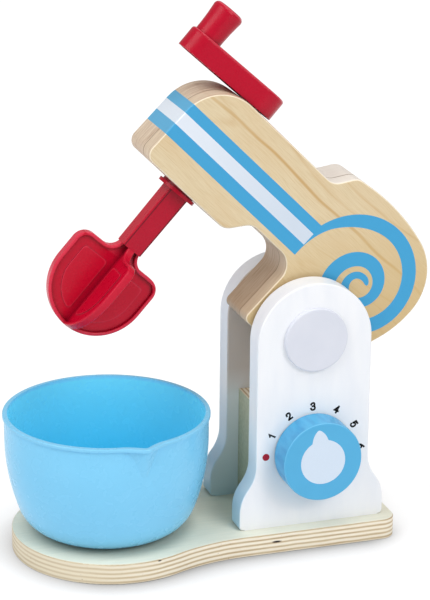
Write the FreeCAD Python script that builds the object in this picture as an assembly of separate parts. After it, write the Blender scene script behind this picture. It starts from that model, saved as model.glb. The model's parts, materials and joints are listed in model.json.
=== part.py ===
"""Toy stand mixer: a wooden stand with a tilting head, a crank-driven beater, a dial and a loose bowl.

Millimetres, +Z up. The origin is on the floor, under the pivot that the head tilts on.
-X points to the bowl and -Y to the side that carries the dial. The head is modelled level,
relative to the pivot, and is then turned up to its raised rest position.
"""

import FreeCAD, Part
import math
import os

V = FreeCAD.Vector
X_AXIS = V(1, 0, 0)
Y_AXIS = V(0, 1, 0)
Z_AXIS = V(0, 0, 1)

# Base board
BASE_THICKNESS = 12.0
BASE_HALF_WIDTH = 42.0
BASE_BACK_X = 49.3
BASE_CORNER_RADIUS = 9.0
BASE_NOSE_X = -108.5
BASE_NOSE_RADIUS = 56.3
BASE_WAIST_RADIUS = 100.0
BASE_EDGE_RADIUS = 0.5
BOWL_X = -111.1

# Side panels and the brace between them
PANEL_GAP = 38.0
PANEL_THICKNESS = 13.8
PANEL_HALF_WIDTH = 33.7
PANEL_FOOT_HALF_WIDTH = 43.2
PANEL_CORNER_RADIUS = 2.4
PANEL_FOOT_STRAIGHT = 7.5
PANEL_SOLE_MARGIN = 0.6
PANEL_SOLE_HEIGHT = 4.0
PANEL_SWEEP_HEIGHT = 28.0
ARCH_DROP = 1.4
PANEL_EDGE_RADIUS = 0.9
PIVOT_Z = 122.4
BRACE_FRONT_X = -26.5
BRACE_THICKNESS = 12.0
BRACE_HEIGHT = 65.3
DOWEL_RADIUS = 4.0
DOWEL_LENGTH_IN_PANEL = 8.0
DOWEL_LENGTH_IN_BRACE = 11.0
DOWEL_LOW_HEIGHT = 29.0
DOWEL_HIGH_HEIGHT = 51.0
GLUE_GAP = 0.05

# Screws up through the base
BASE_SCREW_RADIUS = 2.0
BASE_SCREW_HEAD_RADIUS = 4.0
BASE_SCREW_HEAD_DEPTH = 2.6
BASE_SCREW_LENGTH = 30.0
BASE_SCREW_RECESS = 0.6
PANEL_SCREW_X = 26.0
BRACE_SCREW_Y = 11.0
SCREW_CLEARANCE = 0.05

# Pivot of the head
BOLT_RADIUS = 4.0
BOLT_HEAD_RADIUS = 7.5
BOLT_HEAD_HEIGHT = 4.0
NUT_ACROSS_FLATS = 13.0
NUT_HEIGHT = 5.0
PLAIN_WASHER_RADIUS = 8.4
PLAIN_WASHER_THICKNESS = 1.2
COUNTERBORE_RADIUS = 9.0
COUNTERBORE_DEPTH = 7.0
BOLT_TAIL = 1.0
CAP_RADIUS = 18.4
CAP_HEIGHT = 2.7
CAP_EDGE_RADIUS = 0.9
CAP_SPIGOT_WALL = 0.8
CAP_SPIGOT_LENGTH = 1.2
FRICTION_WASHER_RADIUS = 15.0
FRICTION_WASHER_CLEARANCE = 0.15
SLEEVE_WALL = 2.0
RUNNING_CLEARANCE = 0.06
PRESS_CLEARANCE = 0.02

# Head, in its level position: lengths run forward from the pivot, heights run up from it
HEAD_TILT = 45.0
HEAD_THICKNESS = 34.0
NEAR_BOARD_THICKNESS = 10.9
HEAD_EDGE_RADIUS = 1.0
NOSE_LENGTH = 143.0
NOSE_BOTTOM = 10.2
NOSE_DEPTH = 59.1
NOSE_TOP_RADIUS = 26.5
NOSE_CORNER_RADIUS = 6.0
CHIN_START = 78.9
CHIN_RADIUS = 9.0
THROAT_START = 68.2
THROAT_HEIGHT = 22.6
THROAT_REAR_RADIUS = 8.0
THROAT_FRONT_RADIUS = 11.0
NECK_HALF_WIDTH = 33.5
NECK_DROP = 19.0
NECK_CORNER_RADIUS = 4.0
STEP_FOOT = 48.6
STEP_FOOT_RADIUS = 9.0
STEP_SLANT = 9.1
STEP_RISE = 12.3
STEP_TOP_RADIUS = 8.0
CROWN_LENGTH = 6.6
CROWN_RISE = 4.4
CROWN_RADIUS = 124.0
BACK_BULGE = 8.6
BACK_FALL = 12.0
BACK_CORNER_RADIUS = 34.0
BACK_STRAIGHT = 38.8
BACK_TURN_RADIUS = 60.0
BACK_TUCK = 23.3
BACK_FOOT_RADIUS = 16.0

# Drive: the bore leans, and everything on it is modelled upright from where it leaves the chin
DRIVE_LENGTH = 108.2
DRIVE_LEAN = 3.0
DRIVE_TURN = -3.0
SPINDLE_RADIUS = 4.0
BUSHING_WALL = 1.5
BUSHING_LENGTH = 12.0
BUSHING_INSET = 1.2
SPINDLE_IN_BEATER = 24.0
SPINDLE_IN_CRANK = 8.4

# Crank
CRANK_THROW = 42.8
CRANK_HUB_RADIUS = 14.2
CRANK_TIP_RADIUS = 10.0
CRANK_HEIGHT = 12.8
CRANK_WALL = 1.8
CRANK_TOP_WALL = 2.4
CRANK_EDGE_RADIUS = 1.7
CRANK_CLEARANCE = 0.8
CRANK_BOSS_WALL = 2.6
KNOB_HEIGHT = 19.1
KNOB_FOOT_RADIUS = 8.3
KNOB_MIDDLE_RADIUS = 8.4
KNOB_MIDDLE_HEIGHT = 9.0
KNOB_TOP_RADIUS = 9.6
KNOB_EDGE_RADIUS = 2.8
KNOB_WALL = 1.8
CRANK_SCREW_RADIUS = 1.5
CRANK_SCREW_HEAD_RADIUS = 3.2
CRANK_SCREW_HEAD_HEIGHT = 1.6
CRANK_SCREW_LENGTH = 10.0
CRANK_SCREW_RECESS = 0.3

# Beater, downwards from the chin
BEATER_CLEARANCE = 0.95
COLLAR_STEP = 1.5
COLLAR_CLEARANCE = 0.4
CHIN_RECESS = 1.6
FLANGE_RADIUS = 11.9
FLANGE_THICKNESS = 2.0
SHAFT_TOP_WIDTH = 13.2
SHAFT_TOP_DEPTH = 12.6
SHAFT_FOOT_WIDTH = 12.8
SHAFT_FOOT_DEPTH = 11.6
SHAFT_LENGTH = 42.5
SHAFT_CORNER_RADIUS = 0.7
PADDLE_SHOULDER = 48.4
PADDLE_TIP = 97.3
PADDLE_RADIUS = 28.8
PADDLE_SHOULDER_RADIUS = 7.8
PADDLE_NECK_RADIUS = 7.4
PADDLE_RIM_WIDTH = 6.4
PADDLE_RIM_WALL = 2.0
PADDLE_RIM_EDGE_RADIUS = 0.7
CROSSING_RIM_WIDTH = 4.4
PADDLE_WEB = 2.2
PADDLE_PANEL_MARGIN = 7.5
PADDLE_PANEL_INNER_MARGIN = 5.0
PADDLE_PANEL_HEIGHT = 0.5

# Dial
DIAL_Z = 55.3
DIAL_RADIUS = 23.1
DIAL_DEPTH = 16.3
DIAL_EDGE_RADIUS = 0.9
DIAL_WALL = 2.2
DIAL_FACE_WALL = 3.0
DIAL_BOSS_RADIUS = 6.0
DIAL_FELT_THICKNESS = 0.8
DIAL_FELT_WIDTH = 5.0
DIAL_STEM_RADIUS = 4.5
DIAL_SCREW_RADIUS = 1.75
DIAL_SCREW_HEAD_RADIUS = 3.6
DIAL_SCREW_HEAD_HEIGHT = 2.2
DIAL_SCREW_LENGTH = 22.0
DIAL_WASHER_RADIUS = 7.5
DIAL_WASHER_THICKNESS = 1.2

# Bowl
BOWL_TOP_Z = 80.6
BOWL_WALL_RADIUS = 57.2
BOWL_WALL = 1.8
BOWL_FLOOR = 2.4
BOWL_STRAIGHT = 14.0
BOWL_SIDE_RADIUS = 119.0
BOWL_SIDE_ANGLE = 20.3
BOWL_CORNER_RADIUS = 21.0
BOWL_BEAD_WIDTH = 0.9
BOWL_BEAD_HEIGHT = 1.8
BOWL_BEAD_EDGE_RADIUS = 0.7
LIP_ANGLE = -85.0
LIP_REACH = 4.9
LIP_TIP_RADIUS = 4.6
LIP_BLEND_RADIUS = 40.0
LIP_DROP = 20.0
LIP_SINK = 0.4

# Places worked out from the sizes above
OUTER_Y = PANEL_GAP / 2 + PANEL_THICKNESS
INNER_Y = PANEL_GAP / 2
HEAD_HALF = HEAD_THICKNESS / 2
GLUE_Y = -HEAD_HALF + NEAR_BOARD_THICKNESS


def rounded_outline(corners):
    """Closed outline in the XZ plane from corners (x, z, radius), each rounded by its own arc."""
    points = [V(x, 0, z) for x, z, radius in corners]
    count = len(points)
    edges = []
    spans = []
    for index in range(count):
        here = points[index]
        back = (points[index - 1] - here).normalize()
        ahead = (points[(index + 1) % count] - here).normalize()
        radius = corners[index][2]
        if radius == 0:
            spans.append((here, here, None))
            continue
        half_angle = back.getAngle(ahead) / 2
        reach = radius / math.tan(half_angle)
        centre = here + (back + ahead).normalize() * (radius / math.sin(half_angle))
        middle = centre + (here - centre).normalize() * radius
        spans.append((here + back * reach, here + ahead * reach, middle))
    for index in range(count):
        start, end, middle = spans[index]
        following = spans[(index + 1) % count][0]
        if middle is not None:
            edges.append(Part.Arc(start, middle, end).toShape())
        if (following - end).Length > 1e-6:
            edges.append(Part.LineSegment(end, following).toShape())
    return Part.Wire(edges)


def plate(outline, start_y, end_y):
    """Solid board: an outline in the XZ plane, extruded from start_y to end_y."""
    face = Part.Face(outline)
    face.translate(V(0, start_y, 0))
    return face.extrude(V(0, end_y - start_y, 0))


def rod(radius, start, end):
    """Solid cylinder between two points."""
    return Part.makeCylinder(radius, (end - start).Length, start, end - start)


def tube(outer_radius, inner_radius, start, end):
    """Hollow cylinder between two points."""
    return rod(outer_radius, start, end).cut(rod(inner_radius, start, end))


def edges_in_plane(shape, normal, offset):
    """Edges of a shape that lie in the plane normal . point = offset."""
    found = []
    for edge in shape.Edges:
        points = edge.discretize(5)
        if all(abs(point.dot(normal) - offset) < 1e-4 for point in points):
            found.append(edge)
    return found


def round_edges(shape, radius, normal, offset):
    """Round every edge that lies in one plane."""
    return shape.makeFillet(radius, edges_in_plane(shape, normal, offset))


def base_outline():
    """Round nose under the bowl, hollow waist, straight sides and a rounded back."""
    waist_y = BASE_HALF_WIDTH + BASE_WAIST_RADIUS
    centre_distance = BASE_NOSE_RADIUS + BASE_WAIST_RADIUS
    waist_dx = math.sqrt(centre_distance ** 2 - waist_y ** 2)
    share = BASE_NOSE_RADIUS / centre_distance
    nose_x = BASE_NOSE_X + waist_dx * share
    nose_y = waist_y * share
    waist_x = BASE_NOSE_X + waist_dx
    halfway = math.atan2(nose_y - waist_y, nose_x - waist_x) / 2 - math.pi / 4
    middle = V(waist_x + BASE_WAIST_RADIUS * math.cos(halfway),
               waist_y + BASE_WAIST_RADIUS * math.sin(halfway), 0)
    corner_x = BASE_BACK_X - BASE_CORNER_RADIUS
    corner_y = BASE_HALF_WIDTH - BASE_CORNER_RADIUS
    diagonal = BASE_CORNER_RADIUS * math.sqrt(0.5)

    def mirrored(point):
        return V(point.x, -point.y, point.z)

    side_end = V(waist_x, BASE_HALF_WIDTH, 0)
    nose_end = V(nose_x, nose_y, 0)
    corner_start = V(corner_x, BASE_HALF_WIDTH, 0)
    corner_middle = V(corner_x + diagonal, corner_y + diagonal, 0)
    corner_end = V(BASE_BACK_X, corner_y, 0)
    edges = [
        Part.Arc(nose_end, V(BASE_NOSE_X - BASE_NOSE_RADIUS, 0, 0), mirrored(nose_end)).toShape(),
        Part.Arc(mirrored(nose_end), mirrored(middle), mirrored(side_end)).toShape(),
        Part.LineSegment(mirrored(side_end), mirrored(corner_start)).toShape(),
        Part.Arc(mirrored(corner_start), mirrored(corner_middle), mirrored(corner_end)).toShape(),
        Part.LineSegment(mirrored(corner_end), corner_end).toShape(),
        Part.Arc(corner_end, corner_middle, corner_start).toShape(),
        Part.LineSegment(corner_start, side_end).toShape(),
        Part.Arc(side_end, middle, nose_end).toShape(),
    ]
    return Part.Wire(edges)


def screw_places():
    """Where the screws go up through the base: two into each panel, two into the brace."""
    panel_y = (INNER_Y + OUTER_Y) / 2
    brace_x = BRACE_FRONT_X + BRACE_THICKNESS / 2
    places = [(x, y) for x in (-PANEL_SCREW_X, PANEL_SCREW_X) for y in (-panel_y, panel_y)]
    return places + [(brace_x, -BRACE_SCREW_Y), (brace_x, BRACE_SCREW_Y)]


def base_screw(x, y, clearance):
    """One countersunk screw, head down; a clearance makes the hole that it sits in."""
    head_z = BASE_SCREW_RECESS
    cone_top = head_z + BASE_SCREW_HEAD_DEPTH
    shank = rod(BASE_SCREW_RADIUS + clearance, V(x, y, head_z), V(x, y, BASE_SCREW_LENGTH + clearance))
    head = Part.makeCone(BASE_SCREW_HEAD_RADIUS + clearance, BASE_SCREW_RADIUS + clearance,
                         cone_top - head_z, V(x, y, head_z), Z_AXIS)
    solid = shank.fuse(head)
    if clearance:
        mouth = rod(BASE_SCREW_HEAD_RADIUS + clearance, V(x, y, -1), V(x, y, head_z))
        solid = solid.fuse(mouth)
    return solid.removeSplitter()


def base_screws():
    return Part.makeCompound([base_screw(x, y, 0) for x, y in screw_places()])


def screw_holes():
    return [base_screw(x, y, SCREW_CLEARANCE) for x, y in screw_places()]


def base_board():
    board = Part.Face(base_outline()).extrude(V(0, 0, BASE_THICKNESS))
    board = round_edges(board, BASE_EDGE_RADIUS, Z_AXIS, BASE_THICKNESS)
    board = round_edges(board, BASE_EDGE_RADIUS, Z_AXIS, 0)
    return board.cut(screw_holes())


def panel_outline():
    """Spread foot with round corners, two sweeps up to a straight side, an arch whose centre is just below the pivot."""
    spread = PANEL_FOOT_HALF_WIDTH - PANEL_HALF_WIDTH
    sweep_radius = (PANEL_SWEEP_HEIGHT ** 2 + spread ** 2) / (4 * spread)
    sweep_angle = math.asin(PANEL_SWEEP_HEIGHT / 2 / sweep_radius)
    corner_z = BASE_THICKNESS + PANEL_CORNER_RADIUS
    foot_z = corner_z + PANEL_FOOT_STRAIGHT
    top_z = foot_z + PANEL_SWEEP_HEIGHT
    middle = V((PANEL_FOOT_HALF_WIDTH + PANEL_HALF_WIDTH) / 2, 0, (foot_z + top_z) / 2)
    foot_centre = V(PANEL_FOOT_HALF_WIDTH - sweep_radius, 0, foot_z)
    side_centre = V(PANEL_HALF_WIDTH + sweep_radius, 0, top_z)
    arm = V(math.cos(sweep_angle / 2), 0, math.sin(sweep_angle / 2)) * sweep_radius

    def mirrored(point):
        return V(-point.x, 0, point.z)

    corner_x = PANEL_FOOT_HALF_WIDTH - PANEL_CORNER_RADIUS
    diagonal = PANEL_CORNER_RADIUS * math.sqrt(0.5)
    corner_start = V(corner_x, 0, BASE_THICKNESS)
    corner_middle = V(corner_x + diagonal, 0, corner_z - diagonal)
    corner_end = V(PANEL_FOOT_HALF_WIDTH, 0, corner_z)
    foot_top = V(PANEL_FOOT_HALF_WIDTH, 0, foot_z)
    side_foot = V(PANEL_HALF_WIDTH, 0, top_z)
    arch_z = PIVOT_Z - ARCH_DROP
    side_top = V(PANEL_HALF_WIDTH, 0, arch_z)
    arch_top = V(0, 0, arch_z + PANEL_HALF_WIDTH)
    edges = [
        Part.LineSegment(mirrored(corner_start), corner_start).toShape(),
        Part.Arc(corner_start, corner_middle, corner_end).toShape(),
        Part.LineSegment(corner_end, foot_top).toShape(),
        Part.Arc(foot_top, foot_centre + arm, middle).toShape(),
        Part.Arc(middle, side_centre - arm, side_foot).toShape(),
        Part.LineSegment(side_foot, side_top).toShape(),
        Part.Arc(side_top, arch_top, mirrored(side_top)).toShape(),
        Part.LineSegment(mirrored(side_top), mirrored(side_foot)).toShape(),
        Part.Arc(mirrored(side_foot), mirrored(side_centre - arm), mirrored(middle)).toShape(),
        Part.Arc(mirrored(middle), mirrored(foot_centre + arm), mirrored(foot_top)).toShape(),
        Part.LineSegment(mirrored(foot_top), mirrored(corner_end)).toShape(),
        Part.Arc(mirrored(corner_end), mirrored(corner_middle), mirrored(corner_start)).toShape(),
    ]
    return Part.Wire(edges)


def side_panel(side):
    """One side panel; side is -1 for the near one and +1 for the far one. Its sole is square."""
    board = plate(panel_outline(), side * INNER_Y, side * OUTER_Y)
    for y in (side * INNER_Y, side * OUTER_Y):
        board = round_edges(board, PANEL_EDGE_RADIUS, Y_AXIS, y)
    sole_half = PANEL_FOOT_HALF_WIDTH - PANEL_CORNER_RADIUS - PANEL_SOLE_MARGIN
    sole_y = min(side * INNER_Y, side * OUTER_Y)
    sole = Part.makeBox(2 * sole_half, PANEL_THICKNESS, PANEL_SOLE_HEIGHT,
                        V(-sole_half, sole_y, BASE_THICKNESS))
    board = board.fuse(sole).removeSplitter()
    bore_radius = BOLT_RADIUS + RUNNING_CLEARANCE
    seat_y = side * (OUTER_Y - COUNTERBORE_DEPTH)
    cuts = [
        rod(bore_radius, V(0, side * (INNER_Y - 1), PIVOT_Z), V(0, side * (OUTER_Y + 1), PIVOT_Z)),
        rod(COUNTERBORE_RADIUS, V(0, seat_y, PIVOT_Z), V(0, side * (OUTER_Y + 1), PIVOT_Z)),
    ]
    return board.cut(cuts + screw_holes() + brace_dowel_rods(GLUE_GAP))


def near_side_panel():
    hole = rod(DIAL_STEM_RADIUS + RUNNING_CLEARANCE,
               V(0, -INNER_Y + 1, DIAL_Z), V(0, -OUTER_Y - 1, DIAL_Z))
    return side_panel(-1).cut(hole)


def far_side_panel():
    return side_panel(1)


def brace_dowel_rods(clearance):
    """Four dowels, two at each end of the brace, at two heights."""
    x = BRACE_FRONT_X + BRACE_THICKNESS / 2
    rods = []
    for z in (BASE_THICKNESS + DOWEL_LOW_HEIGHT, BASE_THICKNESS + DOWEL_HIGH_HEIGHT):
        for side in (-1, 1):
            start = V(x, side * (INNER_Y - DOWEL_LENGTH_IN_BRACE - clearance), z)
            end = V(x, side * (INNER_Y + DOWEL_LENGTH_IN_PANEL + clearance), z)
            rods.append(rod(DOWEL_RADIUS + clearance, start, end))
    return rods


def brace_dowels():
    return Part.makeCompound(brace_dowel_rods(0))


def brace_board():
    board = Part.makeBox(BRACE_THICKNESS, PANEL_GAP, BRACE_HEIGHT,
                         V(BRACE_FRONT_X, -INNER_Y, BASE_THICKNESS))
    return board.cut(screw_holes() + brace_dowel_rods(GLUE_GAP))


def pivot_point(y):
    return V(0, y, PIVOT_Z)


def washer_face(side):
    """Outer face of the plain washer in one counterbore."""
    return side * (OUTER_Y - COUNTERBORE_DEPTH + PLAIN_WASHER_THICKNESS)


def hexagon(across_flats, start_y, end_y):
    """Hexagonal prism about the pivot line."""
    radius = across_flats / math.sqrt(3)
    corners = [(radius * math.cos(math.radians(60 * step)),
                PIVOT_Z + radius * math.sin(math.radians(60 * step)), 0) for step in range(6)]
    return plate(rounded_outline(corners), start_y, end_y)


def pivot_bolt():
    head_start = washer_face(-1)
    nut_end = washer_face(1) + NUT_HEIGHT
    head = hexagon(BOLT_HEAD_RADIUS * math.sqrt(3), head_start, head_start - BOLT_HEAD_HEIGHT)
    shank = rod(BOLT_RADIUS, pivot_point(head_start), pivot_point(nut_end + BOLT_TAIL / 2))
    return head.fuse(shank).removeSplitter()


def pivot_nut():
    start = washer_face(1)
    body = hexagon(NUT_ACROSS_FLATS, start, start + NUT_HEIGHT)
    return body.cut(rod(BOLT_RADIUS + PRESS_CLEARANCE, pivot_point(start - 1),
                        pivot_point(start + NUT_HEIGHT + 1)))


def pivot_plain_washers():
    rings = []
    for side in (-1, 1):
        seat = side * (OUTER_Y - COUNTERBORE_DEPTH)
        rings.append(tube(PLAIN_WASHER_RADIUS, BOLT_RADIUS + RUNNING_CLEARANCE,
                          pivot_point(seat), pivot_point(washer_face(side))))
    return Part.makeCompound(rings)


def friction_washer(side):
    """Rubber disc between the head and one panel."""
    head_face = side * (HEAD_HALF + FRICTION_WASHER_CLEARANCE)
    return tube(FRICTION_WASHER_RADIUS, BOLT_RADIUS + RUNNING_CLEARANCE,
                pivot_point(head_face), pivot_point(side * INNER_Y))


def pivot_cap(side):
    """Thin round cover with a short spigot in the counterbore."""
    face = side * OUTER_Y
    outside = side * (OUTER_Y + CAP_HEIGHT)
    disc = rod(CAP_RADIUS, pivot_point(face), pivot_point(outside))
    disc = round_edges(disc, CAP_EDGE_RADIUS, Y_AXIS, outside)
    spigot_radius = COUNTERBORE_RADIUS - PRESS_CLEARANCE
    spigot = tube(spigot_radius, spigot_radius - CAP_SPIGOT_WALL,
                  pivot_point(face - side * CAP_SPIGOT_LENGTH), pivot_point(face))
    return disc.fuse(spigot).removeSplitter()


def head_outline():
    """Side view of the level head. Forward lengths become -X and heights become Z."""
    nose_top = NOSE_BOTTOM + NOSE_DEPTH
    step_top = nose_top + STEP_RISE
    crown = step_top + CROWN_RISE
    back = -NECK_HALF_WIDTH - BACK_BULGE
    back_top = crown - BACK_FALL
    back_turn = back_top - BACK_STRAIGHT
    back_foot = back_turn - BACK_TUCK
    corners = [
        (NOSE_LENGTH, NOSE_BOTTOM, NOSE_CORNER_RADIUS),
        (NOSE_LENGTH, nose_top, NOSE_TOP_RADIUS),
        (STEP_FOOT, nose_top, STEP_FOOT_RADIUS),
        (STEP_FOOT - STEP_SLANT, step_top, STEP_TOP_RADIUS),
        (CROWN_LENGTH, crown, CROWN_RADIUS),
        (back, back_top, BACK_CORNER_RADIUS),
        (back, back_turn, BACK_TURN_RADIUS),
        (-NECK_HALF_WIDTH, back_foot, BACK_FOOT_RADIUS),
        (-NECK_HALF_WIDTH, -NECK_DROP, NECK_CORNER_RADIUS),
        (NECK_HALF_WIDTH, -NECK_DROP, NECK_CORNER_RADIUS),
        (NECK_HALF_WIDTH, THROAT_HEIGHT, THROAT_FRONT_RADIUS),
        (THROAT_START, THROAT_HEIGHT, THROAT_REAR_RADIUS),
        (CHIN_START, NOSE_BOTTOM, CHIN_RADIUS),
    ]
    return rounded_outline([(-length, height, radius) for length, height, radius in corners])


def raised(shape):
    """Turn a level head piece up about the pivot and lift it to its height."""
    result = shape.copy()
    result.rotate(V(0, 0, 0), Y_AXIS, HEAD_TILT)
    result.translate(V(0, 0, PIVOT_Z))
    return result


def on_drive(shape):
    """Place an upright drive piece on the leaning axis of the level head."""
    result = shape.copy()
    result.rotate(V(0, 0, 0), Z_AXIS, DRIVE_TURN)
    result.rotate(V(0, 0, 0), Y_AXIS, -DRIVE_LEAN)
    result.translate(V(-DRIVE_LENGTH, 0, NOSE_BOTTOM))
    return result


def drive_top():
    """Height of the nose's top above the chin, measured along the leaning axis."""
    return NOSE_DEPTH / math.cos(math.radians(DRIVE_LEAN))


def drive_bore():
    """Bore through the level head: wide at both ends for the bushings, wider in the chin for the collar."""
    outer = SPINDLE_RADIUS + RUNNING_CLEARANCE + BUSHING_WALL + PRESS_CLEARANCE
    below = -BUSHING_LENGTH / 2
    above = drive_top() - below
    through = rod(SPINDLE_RADIUS + BUSHING_WALL / 2, V(0, 0, below), V(0, 0, above))
    recess = rod(FLANGE_RADIUS - COLLAR_STEP + COLLAR_CLEARANCE, V(0, 0, below), V(0, 0, CHIN_RECESS))
    lower = rod(outer, V(0, 0, below), V(0, 0, CHIN_RECESS + BUSHING_LENGTH))
    upper = rod(outer, V(0, 0, drive_top() - BUSHING_INSET - BUSHING_LENGTH), V(0, 0, above))
    return on_drive(through.fuse([recess, lower, upper]))


def pivot_hole():
    radius = BOLT_RADIUS + RUNNING_CLEARANCE + SLEEVE_WALL + PRESS_CLEARANCE
    return rod(radius, V(0, -HEAD_HALF - 1, 0), V(0, HEAD_HALF + 1, 0))


def head_board(glued_y, outer_y):
    """One board of the head, its outer face rounded all round."""
    board = plate(head_outline(), glued_y, outer_y)
    board = round_edges(board, HEAD_EDGE_RADIUS, Y_AXIS, outer_y)
    return raised(board.cut([drive_bore(), pivot_hole()]))


def head_near_board():
    return head_board(GLUE_Y, -HEAD_HALF)


def head_far_board():
    return head_board(GLUE_Y, HEAD_HALF)


def pivot_sleeve():
    inner = BOLT_RADIUS + RUNNING_CLEARANCE
    return raised(tube(inner + SLEEVE_WALL, inner, V(0, -HEAD_HALF, 0), V(0, HEAD_HALF, 0)))


def bushing(start_z):
    inner = SPINDLE_RADIUS + RUNNING_CLEARANCE
    sleeve = tube(inner + BUSHING_WALL, inner, V(0, 0, start_z), V(0, 0, start_z + BUSHING_LENGTH))
    return raised(on_drive(sleeve))


def lower_bushing():
    return bushing(CHIN_RECESS)


def upper_bushing():
    return bushing(drive_top() - BUSHING_INSET - BUSHING_LENGTH)


def crank_bottom():
    return drive_top() + CRANK_CLEARANCE


def crank_outline(inset, z):
    """Plan of the arm: a hub circle and a tip circle joined by their tangents."""
    hub = CRANK_HUB_RADIUS - inset
    tip = CRANK_TIP_RADIUS - inset
    angle = math.acos((hub - tip) / CRANK_THROW)

    def on_circle(centre_x, radius, turn):
        return V(centre_x - radius * math.cos(turn), radius * math.sin(turn), z)

    hub_up = on_circle(0, hub, angle)
    hub_down = on_circle(0, hub, -angle)
    tip_up = on_circle(-CRANK_THROW, tip, angle)
    tip_down = on_circle(-CRANK_THROW, tip, -angle)
    return Part.Wire([
        Part.LineSegment(hub_up, tip_up).toShape(),
        Part.Arc(tip_up, V(-CRANK_THROW - tip, 0, z), tip_down).toShape(),
        Part.LineSegment(tip_down, hub_down).toShape(),
        Part.Arc(hub_down, V(hub, 0, z), hub_up).toShape(),
    ])


def knob_form(inset, foot, length):
    """Round form whose hollow sides flare to its top, shrunk all round by an inset."""
    foot_edge = V(KNOB_FOOT_RADIUS - inset, 0, 0)
    middle_edge = V(KNOB_MIDDLE_RADIUS - inset, 0, KNOB_MIDDLE_HEIGHT)
    top_edge = V(KNOB_TOP_RADIUS - inset, 0, length)
    profile = Part.Wire([
        Part.Arc(foot_edge, middle_edge, top_edge).toShape(),
        Part.LineSegment(top_edge, V(0, 0, length)).toShape(),
        Part.LineSegment(V(0, 0, length), V(0, 0, 0)).toShape(),
        Part.LineSegment(V(0, 0, 0), foot_edge).toShape(),
    ])
    form = Part.Face(profile).revolve(V(0, 0, 0), Z_AXIS, 360)
    form.translate(foot)
    return form


def crank_handle():
    """Hollow arm, open below, with a boss on the spindle and a hollow flared knob."""
    bottom = crank_bottom()
    top = bottom + CRANK_HEIGHT
    arm = Part.Face(crank_outline(0, bottom)).extrude(V(0, 0, CRANK_HEIGHT))
    arm = round_edges(arm, CRANK_EDGE_RADIUS, Z_AXIS, top)
    hollow = Part.Face(crank_outline(CRANK_WALL, bottom)).extrude(V(0, 0, CRANK_HEIGHT - CRANK_TOP_WALL))
    knob_foot = V(-CRANK_THROW, 0, top - CRANK_TOP_WALL)
    knob_length = KNOB_HEIGHT + CRANK_TOP_WALL
    knob = knob_form(0, knob_foot, knob_length)
    knob = round_edges(knob, KNOB_EDGE_RADIUS, Z_AXIS, top + KNOB_HEIGHT)
    core = knob_form(KNOB_WALL, knob_foot, knob_length - KNOB_WALL)
    boss = rod(SPINDLE_RADIUS + CRANK_BOSS_WALL, V(0, 0, bottom), V(0, 0, top - CRANK_TOP_WALL / 2))
    socket = rod(SPINDLE_RADIUS + PRESS_CLEARANCE, V(0, 0, bottom - 1),
                 V(0, 0, bottom + SPINDLE_IN_CRANK + PRESS_CLEARANCE))
    recess_floor = top - CRANK_SCREW_RECESS - CRANK_SCREW_HEAD_HEIGHT
    screw_way = rod(CRANK_SCREW_RADIUS + SCREW_CLEARANCE, V(0, 0, bottom), V(0, 0, top + 1))
    recess = rod(CRANK_SCREW_HEAD_RADIUS + SCREW_CLEARANCE, V(0, 0, recess_floor), V(0, 0, top + 1))
    handle = arm.cut(hollow).fuse([knob, boss]).cut([core, socket, screw_way, recess])
    return raised(on_drive(handle.removeSplitter()))


def crank_screw():
    seat = crank_bottom() + CRANK_HEIGHT - CRANK_SCREW_RECESS - CRANK_SCREW_HEAD_HEIGHT
    head = rod(CRANK_SCREW_HEAD_RADIUS, V(0, 0, seat), V(0, 0, seat + CRANK_SCREW_HEAD_HEIGHT))
    shank = rod(CRANK_SCREW_RADIUS, V(0, 0, seat - CRANK_SCREW_LENGTH), V(0, 0, seat))
    return raised(on_drive(head.fuse(shank).removeSplitter()))


def drive_spindle():
    top = crank_bottom() + SPINDLE_IN_CRANK
    bottom = -BEATER_CLEARANCE - SPINDLE_IN_BEATER
    body = rod(SPINDLE_RADIUS, V(0, 0, bottom), V(0, 0, top))
    seat = crank_bottom() + CRANK_HEIGHT - CRANK_SCREW_RECESS - CRANK_SCREW_HEAD_HEIGHT
    screw_end = seat - CRANK_SCREW_LENGTH - SCREW_CLEARANCE
    body = body.cut(rod(CRANK_SCREW_RADIUS + SCREW_CLEARANCE, V(0, 0, screw_end), V(0, 0, top + 1)))
    return raised(on_drive(body))


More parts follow.
